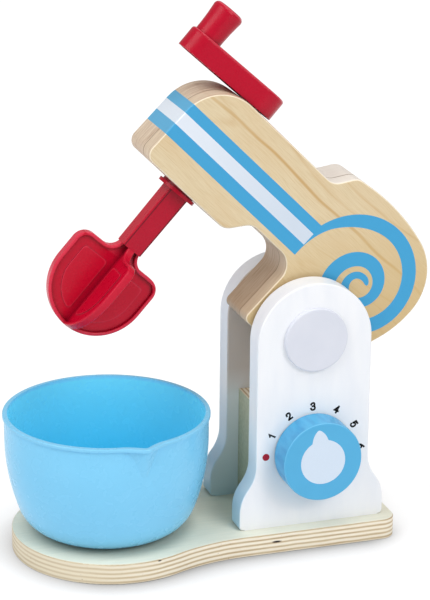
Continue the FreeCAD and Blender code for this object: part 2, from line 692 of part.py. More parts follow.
def paddle_outline(inset, neck_half):
    """Shield outline in the XZ plane: a neck, flat shoulders, rounded corners and a half-round tip."""
    radius = PADDLE_RADIUS - inset
    shoulder = -PADDLE_SHOULDER - inset
    centre_z = PADDLE_RADIUS - PADDLE_TIP
    corner = PADDLE_SHOULDER_RADIUS - inset
    diagonal = corner * math.sqrt(0.5)
    neck = PADDLE_NECK_RADIUS + inset
    neck_centre = V(neck_half + PADDLE_NECK_RADIUS, 0, PADDLE_NECK_RADIUS - PADDLE_SHOULDER)
    neck_diagonal = neck * math.sqrt(0.5)

    def mirrored(point):
        return V(-point.x, 0, point.z)

    neck_top = neck_centre - V(neck, 0, 0)
    neck_middle = neck_centre - V(neck_diagonal, 0, neck_diagonal)
    neck_end = neck_centre - V(0, 0, neck)
    corner_start = V(radius - corner, 0, shoulder)
    corner_middle = V(radius - corner + diagonal, 0, shoulder - corner + diagonal)
    corner_end = V(radius, 0, shoulder - corner)
    side_end = V(radius, 0, centre_z)
    tip = V(0, 0, centre_z - radius)
    edges = [
        Part.LineSegment(mirrored(neck_top), neck_top).toShape(),
        Part.Arc(neck_top, neck_middle, neck_end).toShape(),
        Part.LineSegment(neck_end, corner_start).toShape(),
        Part.Arc(corner_start, corner_middle, corner_end).toShape(),
        Part.LineSegment(corner_end, side_end).toShape(),
        Part.Arc(side_end, tip, mirrored(side_end)).toShape(),
        Part.LineSegment(mirrored(side_end), mirrored(corner_end)).toShape(),
        Part.Arc(mirrored(corner_end), mirrored(corner_middle), mirrored(corner_start)).toShape(),
        Part.LineSegment(mirrored(corner_start), mirrored(neck_end)).toShape(),
        Part.Arc(mirrored(neck_end), mirrored(neck_middle), mirrored(neck_top)).toShape(),
    ]
    return Part.Wire(edges)


def paddle_panel():
    """Raised field on one half of a blade, on both of its faces."""
    radius = PADDLE_RADIUS - PADDLE_PANEL_MARGIN
    shoulder = -PADDLE_SHOULDER - PADDLE_PANEL_MARGIN
    centre_z = PADDLE_RADIUS - PADDLE_TIP
    inner = PADDLE_PANEL_INNER_MARGIN
    foot = centre_z - math.sqrt(radius ** 2 - inner ** 2)
    middle = V(inner + (radius - inner) * 0.5, 0, 0)
    middle.z = centre_z - math.sqrt(radius ** 2 - middle.x ** 2)
    outline = Part.Wire([
        Part.LineSegment(V(inner, 0, shoulder), V(radius, 0, shoulder)).toShape(),
        Part.LineSegment(V(radius, 0, shoulder), V(radius, 0, centre_z)).toShape(),
        Part.Arc(V(radius, 0, centre_z), middle, V(inner, 0, foot)).toShape(),
        Part.LineSegment(V(inner, 0, foot), V(inner, 0, shoulder)).toShape(),
    ])
    half = PADDLE_WEB / 2 + PADDLE_PANEL_HEIGHT
    field = plate(outline, -half, half)
    upright = [edge for edge in field.Edges
               if abs(edge.CenterOfMass.y) < 1e-6 and edge.Length < 2 * half + 1e-3]
    return field.makeFillet(PADDLE_PANEL_HEIGHT * 4, upright)


def quarter_turns(shape, count):
    """Copies of a shape about the drive axis."""
    copies = []
    for step in range(count):
        copy = shape.copy()
        copy.rotate(V(0, 0, 0), Z_AXIS, 360.0 / count * step)
        copies.append(copy)
    return copies


def shaft_section(width, depth, z):
    """Rectangle with small rounded corners, at one height of the shaft."""
    half_x = width / 2
    half_y = depth / 2
    radius = SHAFT_CORNER_RADIUS
    outline = rounded_outline([(-half_x, -half_y, radius), (half_x, -half_y, radius),
                               (half_x, half_y, radius), (-half_x, half_y, radius)])
    outline.rotate(V(0, 0, 0), X_AXIS, -90)
    outline.translate(V(0, 0, z))
    return outline


def blade(neck_half, rim_width):
    """Thin web and the wider rim round it, in the XZ plane."""
    outline = paddle_outline(0, neck_half)
    web = plate(outline, -PADDLE_WEB / 2, PADDLE_WEB / 2)
    rim = plate(outline, -rim_width / 2, rim_width / 2)
    rim = rim.cut(plate(paddle_outline(PADDLE_RIM_WALL, neck_half), -rim_width, rim_width))
    for side in (-1, 1):
        rim = round_edges(rim, PADDLE_RIM_EDGE_RADIUS, Y_AXIS, side * rim_width / 2)
    return [web, rim]


def beater():
    """Collar that runs in the chin, flange, tapered shaft and two rimmed blades that cross."""
    flange_top = -BEATER_CLEARANCE
    flange_foot = flange_top - FLANGE_THICKNESS
    collar_top = CHIN_RECESS - COLLAR_CLEARANCE
    flange = rod(FLANGE_RADIUS, V(0, 0, flange_foot), V(0, 0, flange_top))
    flange = flange.fuse(rod(FLANGE_RADIUS - COLLAR_STEP, V(0, 0, flange_top), V(0, 0, collar_top)))
    shaft = Part.makeLoft([shaft_section(SHAFT_TOP_WIDTH, SHAFT_TOP_DEPTH, flange_foot),
                           shaft_section(SHAFT_FOOT_WIDTH, SHAFT_FOOT_DEPTH, -SHAFT_LENGTH)], True, True)
    main = blade(SHAFT_FOOT_WIDTH / 2, PADDLE_RIM_WIDTH)
    crossing = blade(SHAFT_FOOT_DEPTH / 2, CROSSING_RIM_WIDTH)
    for piece in crossing:
        piece.rotate(V(0, 0, 0), Z_AXIS, 90)
    blades = main[0].fuse(main[1:] + crossing)
    body = blades.fuse([shaft]).fuse([flange] + quarter_turns(paddle_panel(), 4))
    socket = rod(SPINDLE_RADIUS + PRESS_CLEARANCE,
                 V(0, 0, flange_top - SPINDLE_IN_BEATER - PRESS_CLEARANCE), V(0, 0, CHIN_RECESS))
    return raised(on_drive(body.cut(socket).removeSplitter()))


def dial_point(y):
    return V(0, y, DIAL_Z)


def dial_back():
    return -OUTER_Y - DIAL_FELT_THICKNESS


def dial_front():
    return -OUTER_Y - DIAL_DEPTH


def dial():
    """Round knob, hollow behind, with a stem that turns in the panel."""
    body = rod(DIAL_RADIUS, dial_point(dial_back()), dial_point(dial_front()))
    body = round_edges(body, DIAL_EDGE_RADIUS, Y_AXIS, dial_front())
    hollow = tube(DIAL_RADIUS - DIAL_WALL, DIAL_BOSS_RADIUS,
                  dial_point(dial_back() + 1), dial_point(dial_front() + DIAL_FACE_WALL))
    stem = rod(DIAL_STEM_RADIUS, dial_point(dial_back()), dial_point(-INNER_Y - RUNNING_CLEARANCE))
    screw_end = -INNER_Y + DIAL_WASHER_THICKNESS - DIAL_SCREW_LENGTH - SCREW_CLEARANCE
    hole = rod(DIAL_SCREW_RADIUS + SCREW_CLEARANCE, dial_point(0), dial_point(screw_end))
    return body.cut(hollow).fuse(stem).cut(hole).removeSplitter()


def dial_felt_ring():
    return tube(DIAL_RADIUS - DIAL_WALL / 2, DIAL_RADIUS - DIAL_WALL / 2 - DIAL_FELT_WIDTH,
                dial_point(-OUTER_Y), dial_point(dial_back()))


def dial_screw():
    seat = -INNER_Y + DIAL_WASHER_THICKNESS
    head = rod(DIAL_SCREW_HEAD_RADIUS, dial_point(seat), dial_point(seat + DIAL_SCREW_HEAD_HEIGHT))
    shank = rod(DIAL_SCREW_RADIUS, dial_point(seat), dial_point(seat - DIAL_SCREW_LENGTH))
    return head.fuse(shank).removeSplitter()


def dial_washer():
    return tube(DIAL_WASHER_RADIUS, DIAL_SCREW_RADIUS + RUNNING_CLEARANCE,
                dial_point(-INNER_Y), dial_point(-INNER_Y + DIAL_WASHER_THICKNESS))


def bowl_profile(inset, floor_z, top_z):
    """Half section in the XZ plane, from the floor's centre up the wall; inset thins it."""
    radius = BOWL_WALL_RADIUS - inset
    straight_foot = BOWL_TOP_Z - BOWL_STRAIGHT
    angle = math.radians(BOWL_SIDE_ANGLE)
    side = BOWL_SIDE_RADIUS - inset

    def side_point(turn):
        return V(radius - side + side * math.cos(turn), 0, straight_foot - side * math.sin(turn))

    side_foot = side_point(angle)
    corner_centre_x = side_foot.x - (BOWL_CORNER_RADIUS - inset) * math.cos(angle)
    corner = BOWL_CORNER_RADIUS - inset
    corner_centre_z = side_foot.z + corner * math.sin(angle)

    def corner_point(turn):
        return V(corner_centre_x + corner * math.cos(turn), 0, corner_centre_z - corner * math.sin(turn))

    corner_foot = corner_point(math.pi / 2)
    shift = floor_z - corner_foot.z
    edges = [
        Part.LineSegment(V(0, 0, floor_z), V(corner_foot.x, 0, floor_z)).toShape(),
        Part.Arc(V(corner_foot.x, 0, floor_z),
                 corner_point((math.pi / 2 + angle) / 2) + V(0, 0, shift),
                 side_foot + V(0, 0, shift)).toShape(),
        Part.Arc(side_foot + V(0, 0, shift), side_point(angle / 2) + V(0, 0, shift),
                 side_point(0) + V(0, 0, shift)).toShape(),
        Part.LineSegment(side_point(0) + V(0, 0, shift), V(radius, 0, top_z)).toShape(),
        Part.LineSegment(V(radius, 0, top_z), V(0, 0, top_z)).toShape(),
        Part.LineSegment(V(0, 0, top_z), V(0, 0, floor_z)).toShape(),
    ]
    return Part.Face(Part.Wire(edges)).revolve(V(0, 0, 0), Z_AXIS, 360)


def lip_arcs(inset):
    """Outline of the pouring lip towards +X: a hollow blend, the round tip, the other blend."""
    tip_centre = V(BOWL_WALL_RADIUS + LIP_REACH - LIP_TIP_RADIUS, 0, 0)
    out = BOWL_WALL_RADIUS + LIP_BLEND_RADIUS
    apart = LIP_TIP_RADIUS + LIP_BLEND_RADIUS
    turn = math.acos((out ** 2 + tip_centre.x ** 2 - apart ** 2) / (2 * out * tip_centre.x))
    blend_centre = V(out * math.cos(turn), out * math.sin(turn), 0)
    blend = LIP_BLEND_RADIUS + inset
    start = blend_centre * ((BOWL_WALL_RADIUS - inset) / out)
    end = tip_centre + (blend_centre - tip_centre) * ((LIP_TIP_RADIUS - inset) / apart)
    halfway = (start + end) * 0.5 - blend_centre
    middle = blend_centre + halfway * (blend / halfway.Length)
    tip = tip_centre + V(LIP_TIP_RADIUS - inset, 0, 0)

    def mirrored(point):
        return V(point.x, -point.y, 0)

    arcs = [
        Part.Arc(start, middle, end).toShape(),
        Part.Arc(end, tip, mirrored(end)).toShape(),
        Part.Arc(mirrored(end), mirrored(middle), mirrored(start)).toShape(),
    ]
    return arcs, start, mirrored(start)


def bowl_lip(inset, top_z):
    """Bulge of the wall under the pouring lip; it leans in until the wall hides it."""
    arcs, start, end = lip_arcs(inset)
    back = V(BOWL_WALL_RADIUS / 2, 0, 0)
    lines = [Part.LineSegment(end, back).toShape(), Part.LineSegment(back, start).toShape()]
    section = Part.Face(Part.Wire(arcs + lines))
    foot_z = BOWL_TOP_Z - LIP_DROP
    section.translate(V(-LIP_REACH - LIP_SINK, 0, foot_z))
    lip = section.extrude(V(LIP_REACH / LIP_DROP, 0, 1) * (top_z - foot_z))
    lip.rotate(V(0, 0, 0), Z_AXIS, LIP_ANGLE)
    return lip


def bowl_bead():
    """Rolled rim, which follows the lip."""
    arcs, start, end = lip_arcs(-BOWL_BEAD_WIDTH)
    back = V(-BOWL_WALL_RADIUS - BOWL_BEAD_WIDTH, 0, 0)
    outline = Part.Wire(arcs + [Part.Arc(end, back, start).toShape()])
    outline.translate(V(0, 0, BOWL_TOP_Z - BOWL_BEAD_HEIGHT))
    bead = Part.Face(outline).extrude(V(0, 0, BOWL_BEAD_HEIGHT))
    bead = round_edges(bead, BOWL_BEAD_EDGE_RADIUS, Z_AXIS, BOWL_TOP_Z)
    bead.rotate(V(0, 0, 0), Z_AXIS, LIP_ANGLE)
    return bead


def bowl():
    """Open bowl with a rolled rim and a pouring lip."""
    bottom = BASE_THICKNESS
    in_bead = BOWL_TOP_Z - BOWL_BEAD_HEIGHT / 2
    above = BOWL_TOP_Z + 1
    outside = bowl_profile(0, bottom, in_bead).fuse(bowl_lip(0, in_bead))
    inside = bowl_profile(BOWL_WALL, bottom + BOWL_FLOOR, above).fuse(bowl_lip(BOWL_WALL, above))
    shell = outside.fuse(bowl_bead()).cut(inside).removeSplitter()
    shell.translate(V(BOWL_X, 0, 0))
    return shell


NODES = {
    "base_board": base_board,
    "base_screws": base_screws,
    "near_side_panel": near_side_panel,
    "far_side_panel": far_side_panel,
    "brace_board": brace_board,
    "brace_dowels": brace_dowels,
    "pivot_bolt": pivot_bolt,
    "pivot_nut": pivot_nut,
    "pivot_plain_washers": pivot_plain_washers,
    "near_friction_washer": lambda: friction_washer(-1),
    "far_friction_washer": lambda: friction_washer(1),
    "near_pivot_cap": lambda: pivot_cap(-1),
    "far_pivot_cap": lambda: pivot_cap(1),
    "head_near_board": head_near_board,
    "head_far_board": head_far_board,
    "pivot_sleeve": pivot_sleeve,
    "lower_bushing": lower_bushing,
    "upper_bushing": upper_bushing,
    "crank_handle": crank_handle,
    "crank_screw": crank_screw,
    "drive_spindle": drive_spindle,
    "beater": beater,
    "dial": dial,
    "dial_felt_ring": dial_felt_ring,
    "dial_screw": dial_screw,
    "dial_washer": dial_washer,
    "bowl": bowl,
}

os.makedirs("parts", exist_ok=True)
for name, make in NODES.items():
    shape = make()
    print(name, "solids", len(shape.Solids), "valid", shape.isValid(), "volume %.0f" % shape.Volume)
    shape.exportStep("parts/%s.step" % name)
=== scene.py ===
"""Looks of the toy stand mixer: materials, printed artwork, light and camera.

Metres, +Z up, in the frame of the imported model. Artwork sizes are in millimetres and are named so.
"""

import json
import math

import bpy
from mathutils import Matrix, Vector

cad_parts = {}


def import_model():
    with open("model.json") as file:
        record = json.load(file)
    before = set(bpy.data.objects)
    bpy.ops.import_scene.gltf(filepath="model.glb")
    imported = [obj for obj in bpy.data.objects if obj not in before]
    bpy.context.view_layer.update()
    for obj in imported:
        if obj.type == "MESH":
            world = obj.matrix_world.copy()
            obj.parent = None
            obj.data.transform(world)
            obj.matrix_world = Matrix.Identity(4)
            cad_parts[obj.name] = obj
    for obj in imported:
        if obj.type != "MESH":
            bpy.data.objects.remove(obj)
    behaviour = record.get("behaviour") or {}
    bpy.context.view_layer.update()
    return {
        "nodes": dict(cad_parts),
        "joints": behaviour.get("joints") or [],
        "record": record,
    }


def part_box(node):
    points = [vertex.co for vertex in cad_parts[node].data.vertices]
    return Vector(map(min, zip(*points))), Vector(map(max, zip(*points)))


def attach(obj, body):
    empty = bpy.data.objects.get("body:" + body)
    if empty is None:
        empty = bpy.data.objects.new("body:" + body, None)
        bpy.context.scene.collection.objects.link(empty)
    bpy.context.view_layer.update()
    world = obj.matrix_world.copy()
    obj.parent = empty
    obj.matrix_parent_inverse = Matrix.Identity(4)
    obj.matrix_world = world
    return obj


MM = 0.001

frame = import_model()

# Camera, fitted to the photograph
LOOK_AT = Vector((-0.0478307, 0.0, 0.1393619))
CAMERA_DISTANCE = 1.4
CAMERA_TURN = math.radians(18.66478)
CAMERA_PITCH = math.radians(18.8349)
CAMERA_ROLL = math.radians(0.52016)
FOCAL_PIXELS = 2511.0
IMAGE_HEIGHT = 600
SENSOR_HEIGHT = 36.0
CAMERA_REACH = 50.0

# Places taken from the frame
JOINTS = {joint["name"]: joint for joint in frame["joints"]}
PIVOT = Vector(JOINTS["head_tilt"]["pos_m"])
DIAL_CENTRE = Vector(JOINTS["dial_turn"]["pos_m"])
DRIVE_POINT = Vector(JOINTS["beater_turn"]["pos_m"])
DRIVE_AXIS = Vector(JOINTS["beater_turn"]["axis"]).normalized()
PANEL_FACE_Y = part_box("near_side_panel")[0].y
DIAL_FACE_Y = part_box("dial")[0].y
BRACE_FRONT_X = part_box("brace_board")[0].x
GLUE_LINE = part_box("head_near_board")[1].y / MM
HEAD_TILT = math.radians(45.0)
HEAD_FORWARD = Vector((-math.cos(HEAD_TILT), 0.0, math.sin(HEAD_TILT)))
HEAD_UP = Vector((math.sin(HEAD_TILT), 0.0, math.cos(HEAD_TILT)))

# Stripes on the head, in millimetres above the pivot when the head is level; the pale one ends at
# PALE_END, in millimetres forward of the pivot
STRIPE_LOW = 26.6
PALE_LOW = 34.1
PALE_HIGH = 42.0
STRIPE_HIGH = 48.4
PALE_END = 37.0

# Height of the long darker line in the wood, in millimetres above the pivot when the head is level
HEART_LINE = 57.5

# Middle of the crank's hub, in millimetres forward of the pivot when the head is level
HUB_FORWARD = 108.0

# Raised fields, rims, shaft and dark shaft lines of the beater, in millimetres below the chin and out
# from the drive axis, with the fades of the painted highlight lines and of the dark shaft lines, the
# span of the painted light on the rims, and how far the painted shade in its creases reaches
FIELD_CENTRE = 68.5
FIELD_RADIUS = 21.3
FIELD_TOP = 55.9
FIELD_INNER = 5.0
FIELD_CORNER = 4.0
RIM_INNER_RADIUS = 26.8
RIM_INNER_TOP = 50.4
SHAFT_START = 3.0
SHAFT_END = 42.7
SHAFT_HALF_WIDTH = 6.8
DARK_SHAFT_LINE_PLACE = 5.5
DARK_SHAFT_LINE_FADE = (0.15, 0.45)
FIELD_HIGHLIGHT_FADE = (0.15, 0.55)
RIM_LIGHT_SPAN = (2.0, 8.0)
CREASE_SHADE_REACH = 7.0 * MM

# How squarely a flat of the shaft looks along y to get painted shade, and how far red plastic turns up
# the drive axis where a glint is painted
SHAFT_FACING = 0.7
GLINT_RISES = (0.5, 0.65)
GLINT_FALLS = (0.8, 0.9)

# Spiral at the back of the head: centre, then (turn in degrees, radius) of its two edges in millimetres
SPIRAL_FORWARD = -4.5
SPIRAL_HEIGHT = 38.0
SPIRAL_OUTER = ((-90, 48.0), (15, 42.8), (90, 38.5), (190, 31.6), (345, 21.5), (477, 17.3),
                (560, 14.5), (690, 9.2), (790, 7.5), (858, 7.0), (872, 5.6))
SPIRAL_INNER = ((-90, 58.0), (-16, 42.9), (14, 38.4), (50, 33.1), (90, 30.3), (195, 22.7), (342, 12.6),
                (450, 10.2), (557, 8.4), (670, 4.6), (756, 3.7), (820, 3.8), (860, 5.0), (872, 7.0))

# The spiral's first turn and how far on it leaves the stripe, in degrees; then its number of windings
# and the spans that its two edges are drawn in
SPIRAL_START = -90.0
SPIRAL_LEAVES_STRIPE = 90.0
SPIRAL_WINDINGS = 3
SPIRAL_TURN_SPAN = 1000.0
SPIRAL_RADIUS_SPAN = 60.0


def srgb(red, green, blue):
    """Linear colour from 0 to 255 display values."""
    def linear(value):
        share = value / 255.0
        if share <= 0.04045:
            return share / 12.92
        return ((share + 0.055) / 1.055) ** 2.4
    return (linear(red), linear(green), linear(blue), 1.0)


class Shader:
    """One material's node tree, written top down."""

    def __init__(self, name):
        self.material = bpy.data.materials.new(name)
        self.material.use_nodes = True
        self.tree = self.material.node_tree
        self.tree.nodes.clear()
        self.output = self.tree.nodes.new("ShaderNodeOutputMaterial")

    def node(self, kind, inputs=(), **settings):
        made = self.tree.nodes.new(kind)
        for name, value in settings.items():
            setattr(made, name, value)
        for name, value in dict(inputs).items():
            self.put(made.inputs[name], value)
        return made

    def put(self, socket, value):
        if isinstance(value, bpy.types.NodeSocket):
            self.tree.links.new(value, socket)
        else:
            socket.default_value = value

    def place(self):
        """Position in the row frame, fixed to the piece."""
        return self.node("ShaderNodeTexCoord").outputs["Object"]

    def normal(self):
        """Normal fixed to the piece."""
        return self.node("ShaderNodeTexCoord").outputs["Normal"]

    def math(self, operation, first, second=0.0, third=0.0):
        made = self.node("ShaderNodeMath", {0: first, 1: second, 2: third}, operation=operation)
        return made.outputs[0]

    def vector(self, operation, first, second=(0.0, 0.0, 0.0)):
        made = self.node("ShaderNodeVectorMath", {0: first, 1: second}, operation=operation)
        return made.outputs["Value" if operation in ("DOT_PRODUCT", "LENGTH") else "Vector"]

    def times(self, first, second):
        return self.math("MULTIPLY", first, second)

    def plus(self, first, second):
        return self.math("ADD", first, second)

    def minus(self, first, second):
        return self.math("SUBTRACT", first, second)

    def magnitude(self, value):
        return self.math("ABSOLUTE", value)

    def scaled(self, vector, factors):
        return self.vector("MULTIPLY", vector, factors)

    def to_mm(self, vector):
        return self.scaled(vector, (1 / MM, 1 / MM, 1 / MM))

    def split(self, vector):
        made = self.node("ShaderNodeSeparateXYZ", {0: vector})
        return made.outputs[0], made.outputs[1], made.outputs[2]

    def join(self, x, y, z):
        return self.node("ShaderNodeCombineXYZ", {0: x, 1: y, 2: z}).outputs[0]

    def above(self, value, edge, softness=0.0):
        """1 above an edge and 0 below it."""
        if not softness:
            return self.math("GREATER_THAN", value, edge)
        made = self.node("ShaderNodeMapRange", {0: value, 1: edge - softness, 2: edge + softness},
                         interpolation_type="SMOOTHSTEP")
        return made.outputs[0]

    def between(self, value, low, high):
        return self.times(self.math("GREATER_THAN", value, low), self.math("LESS_THAN", value, high))

    def ramp(self, value, stops):
        """Colour ramp from (position, colour) stops."""
        made = self.node("ShaderNodeValToRGB", {0: value})
        elements = made.color_ramp.elements
        while len(elements) < len(stops):
            elements.new(0.5)
        for element, (position, colour) in zip(elements, stops):
            element.position = position
            element.color = colour
        return made.outputs[0]

    def range(self, value, low, high, to_low, to_high):
        """Straight change from one tone to another between low and high, and held beyond both."""
        inputs = {0: value, 1: low, 2: high, 3: to_low, 4: to_high}
        return self.node("ShaderNodeMapRange", inputs).outputs[0]

    def mix(self, share, first, second):
        inputs = {0: share, 6: first, 7: second}
        return self.node("ShaderNodeMix", inputs, data_type="RGBA").outputs[2]

    def noise(self, vector, scale, detail=3.0, roughness=0.5, distortion=0.0):
        made = self.node("ShaderNodeTexNoise", {"Vector": vector, "Scale": scale, "Detail": detail,
                                                "Roughness": roughness, "Distortion": distortion})
        return made.outputs["Fac"]

    def openness(self, distance):
        """1 in the open and 0 deep in a crease."""
        return self.node("ShaderNodeAmbientOcclusion", {"Distance": distance}).outputs["AO"]

    def curve(self, value, points):
        """Smooth curve through (x, y) points, both from 0 to 1."""
        made = self.node("ShaderNodeFloatCurve", {"Value": value})
        spline = made.mapping.curves[0]
        spline.points[0].location = points[0]
        spline.points[1].location = points[-1]
        for x, y in points[1:-1]:
            spline.points.new(x, y)
        made.mapping.update()
        return made.outputs[0]

    def bump(self, height, distance, strength):
        inputs = {"Height": height, "Distance": distance, "Strength": strength}
        return self.node("ShaderNodeBump", inputs).outputs[0]

    def principled(self, **inputs):
        """Ends the tree; underscores in a name stand for spaces."""
        made = self.node("ShaderNodeBsdfPrincipled",
                         {name.replace("_", " "): value for name, value in inputs.items()})
        self.tree.links.new(made.outputs[0], self.output.inputs["Surface"])
        return self.material


def head_coordinates(shader):
    """Millimetres forward, up and across from the pivot, along the head."""
    from_pivot = shader.vector("SUBTRACT", shader.place(), PIVOT)
    along = shader.times(shader.vector("DOT_PRODUCT", from_pivot, HEAD_FORWARD), 1 / MM)
    up = shader.times(shader.vector("DOT_PRODUCT", from_pivot, HEAD_UP), 1 / MM)
    across = shader.times(shader.split(from_pivot)[1], 1 / MM)
    return along, up, across


def spiral_edge(shader, turn, points):
    """Radius in millimetres of one edge of the spiral, where turn is in degrees from its start."""
    share = shader.math("DIVIDE", turn, SPIRAL_TURN_SPAN)
    shape = [((angle - SPIRAL_START) / SPIRAL_TURN_SPAN, radius / SPIRAL_RADIUS_SPAN)
             for angle, radius in points]
    shape.append((1.0, shape[-1][1]))
    return shader.times(shader.curve(share, shape), SPIRAL_RADIUS_SPAN)


def head_artwork(shader, along, up):
    """Masks of the blue paint and of the pale stripe."""
    dx = shader.minus(along, SPIRAL_FORWARD)
    dy = shader.minus(up, SPIRAL_HEIGHT)
    radius = shader.vector("LENGTH", shader.join(dx, dy, 0.0))
    angle = shader.math("DEGREES", shader.math("ARCTAN2", dy, dx))
    turn = shader.math("FLOORED_MODULO", shader.minus(angle, SPIRAL_START), 360.0)
    blue = None
    for winding in range(SPIRAL_WINDINGS):
        wound = shader.plus(turn, 360.0 * winding)
        outer = spiral_edge(shader, wound, SPIRAL_OUTER)
        inner = spiral_edge(shader, wound, SPIRAL_INNER)
        ring = shader.times(shader.math("LESS_THAN", radius, outer),
                            shader.math("GREATER_THAN", radius, inner))
        if winding == 0:
            ring = shader.times(ring, shader.math("GREATER_THAN", turn, SPIRAL_LEAVES_STRIPE))
            band = shader.between(up, STRIPE_LOW, STRIPE_HIGH)
            band = shader.times(band, shader.math("GREATER_THAN", radius, inner))
            band = shader.times(band, shader.math("GREATER_THAN", dx, 0.0))
            ring = shader.math("MAXIMUM", ring, band)
        blue = ring if blue is None else shader.math("MAXIMUM", blue, ring)
    pale = shader.times(shader.between(up, PALE_LOW, PALE_HIGH),
                        shader.math("GREATER_THAN", along, PALE_END))
    return blue, pale


# Where the tones of the head change, in millimetres along, up and across from the pivot; the neck, step
# and hub spans place painted shade, a painted highlight and a painted red reflection
NECK_FACE_SHADE_SPAN = (85.0, 10.0)
NECK_FACE_SHADE_SLOPE = 0.8
NECK_EDGE_SHADE_ALONG = (100.0, 25.0)
NECK_EDGE_SHADE_UP = (40.0, -14.0)
STEP_HIGHLIGHT_ALONG = (76.0, 56.0)
STEP_HIGHLIGHT_UP = (36.0, 46.0)
HUB_REFLECTION_REACH = (12.0, 26.0)
HUB_REFLECTION_UP = (58.0, 66.0)
NOSE_PAINT_ALONG = (50.0, 130.0)
GLUE_FADE = (0.2, 0.7)
HEART_FADE = (0.3, 1.2)

# How squarely a point of the head looks sideways: 0 on the edges of its boards, 1 on their faces
EDGE_FACING = (0.6, 0.9)
# Where on the rounded edges a highlight is painted
PAINTED_HIGHLIGHT_RISES = (0.55, 0.75)
PAINTED_HIGHLIGHT_FALLS = (0.93, 0.99)
# Where a darker line is drawn on the rounding of the pale paint
DARK_ROUND_FACING = (0.45, 0.62)

# Grain of the head: how strongly it sways, how many rings it has and how far each noise is stretched
GRAIN_SWAY = 12.0
HEART_SWAY = 14.0
RING_COUNT = 16.0
SWAY_STRETCH = (0.012, 0.02, 0.02)
GRAIN_ALONG = 0.035
BROAD_STRETCH = (0.35, 0.07, 0.07)
FIELD_STRETCH = (0.003, 0.018, 0.012)
STRIP_STRETCH = 0.07


def head_grain(shader, along, up, across):
    """Wood colour of the boards' faces with painted shade towards the neck, and the noise of its fine
    grain.
    """
    def stretched(parts, factors):
        return shader.join(*[shader.times(part, factor) for part, factor in zip(parts, factors)])

    sway = shader.noise(stretched((along, up, across), SWAY_STRETCH), 1.0, 2.0)
    lifted = shader.plus(up, shader.times(sway, GRAIN_SWAY))
    grain_place = shader.join(shader.times(along, GRAIN_ALONG), lifted, across)
    fine = shader.noise(grain_place, 2.6, 4.0, 0.6)
    broad = shader.noise(shader.scaled(grain_place, BROAD_STRETCH), 1.0, 2.0)
    field = shader.noise(stretched((along, lifted, across), FIELD_STRETCH), 1.0, 1.0)
    rings = shader.math("FRACT", shader.times(field, RING_COUNT))
    line = shader.ramp(rings, [(0.0, (1, 1, 1, 1)), (0.10, (0.15, 0.15, 0.15, 1)), (0.5, (0, 0, 0, 1)),
                               (0.93, (0.1, 0.1, 0.1, 1)), (1.0, (1, 1, 1, 1))])
    line = shader.times(line, shader.range(broad, 0.35, 0.65, 0.1, 0.75))
    wood = shader.ramp(fine, [(0.25, srgb(208, 184, 142)), (0.5, srgb(220, 200, 162)),
                              (0.75, srgb(227, 210, 176))])
    wood = shader.mix(shader.range(broad, 0.4, 0.75, 0.0, 0.5), wood, srgb(216, 187, 142))
    wood = shader.mix(line, wood, srgb(196, 158, 102))
    heart = shader.minus(shader.plus(up, shader.times(sway, HEART_SWAY)), HEART_LINE + HEART_SWAY / 2)
    heart = shader.range(shader.magnitude(heart), *HEART_FADE, 0.9, 0.0)
    heart = shader.times(heart, shader.range(broad, 0.3, 0.6, 0.4, 1.0))
    wood = shader.mix(heart, wood, srgb(196, 156, 94))
    # Painted shade: the faces turn darker and yellower towards the neck
    painted_neck_face_shade = shader.plus(along, shader.times(up, NECK_FACE_SHADE_SLOPE))
    painted_neck_face_shade = shader.range(painted_neck_face_shade, *NECK_FACE_SHADE_SPAN, 0.0, 0.7)
    return shader.mix(painted_neck_face_shade, wood, srgb(208, 178, 122)), fine


def head_edges(shader, along, up, across):
    """Browner edges, the glue line between the boards, painted neck shade, step highlight and red
    reflection.
    """
    strip_place = shader.join(shader.times(along, STRIP_STRETCH), shader.times(up, STRIP_STRETCH),
                              across)
    strip = shader.noise(strip_place, 0.9, 4.0, 0.65, 0.4)
    brown = shader.ramp(strip, [(0.30, srgb(168, 136, 114)), (0.44, srgb(204, 180, 158)),
                                (0.56, srgb(218, 198, 176)), (0.72, srgb(232, 217, 196))])
    # Painted shade on the edges of the low neck
    painted_neck_edge_shade = shader.times(shader.range(along, *NECK_EDGE_SHADE_ALONG, 0.0, 0.75),
                            shader.range(up, *NECK_EDGE_SHADE_UP, 0.35, 1.0))
    brown = shader.mix(painted_neck_edge_shade, brown, srgb(158, 126, 96))
    near_board = shader.math("LESS_THAN", across, GLUE_LINE)
    brown = shader.mix(shader.times(near_board, 0.35), brown, srgb(220, 200, 172))
    # Painted highlight: the step's edge nearly white
    painted_step_highlight = shader.times(shader.range(along, *STEP_HIGHLIGHT_ALONG, 0.0, 0.85),
                           shader.range(up, *STEP_HIGHLIGHT_UP, 0.0, 1.0))
    brown = shader.mix(painted_step_highlight, brown, srgb(250, 244, 238))
    # Painted reflection of the red crank on the wood beside its hub
    painted_hub_reflection = shader.magnitude(shader.minus(along, HUB_FORWARD))
    painted_hub_reflection = shader.times(shader.range(painted_hub_reflection, *HUB_REFLECTION_REACH, 0.6, 0.0),
                              shader.range(up, *HUB_REFLECTION_UP, 0.0, 1.0))
    brown = shader.mix(painted_hub_reflection, brown, srgb(172, 92, 80))
    glue = shader.magnitude(shader.minus(across, GLUE_LINE))
    return shader.mix(shader.range(glue, *GLUE_FADE, 0.85, 0.0), brown, srgb(128, 98, 76))


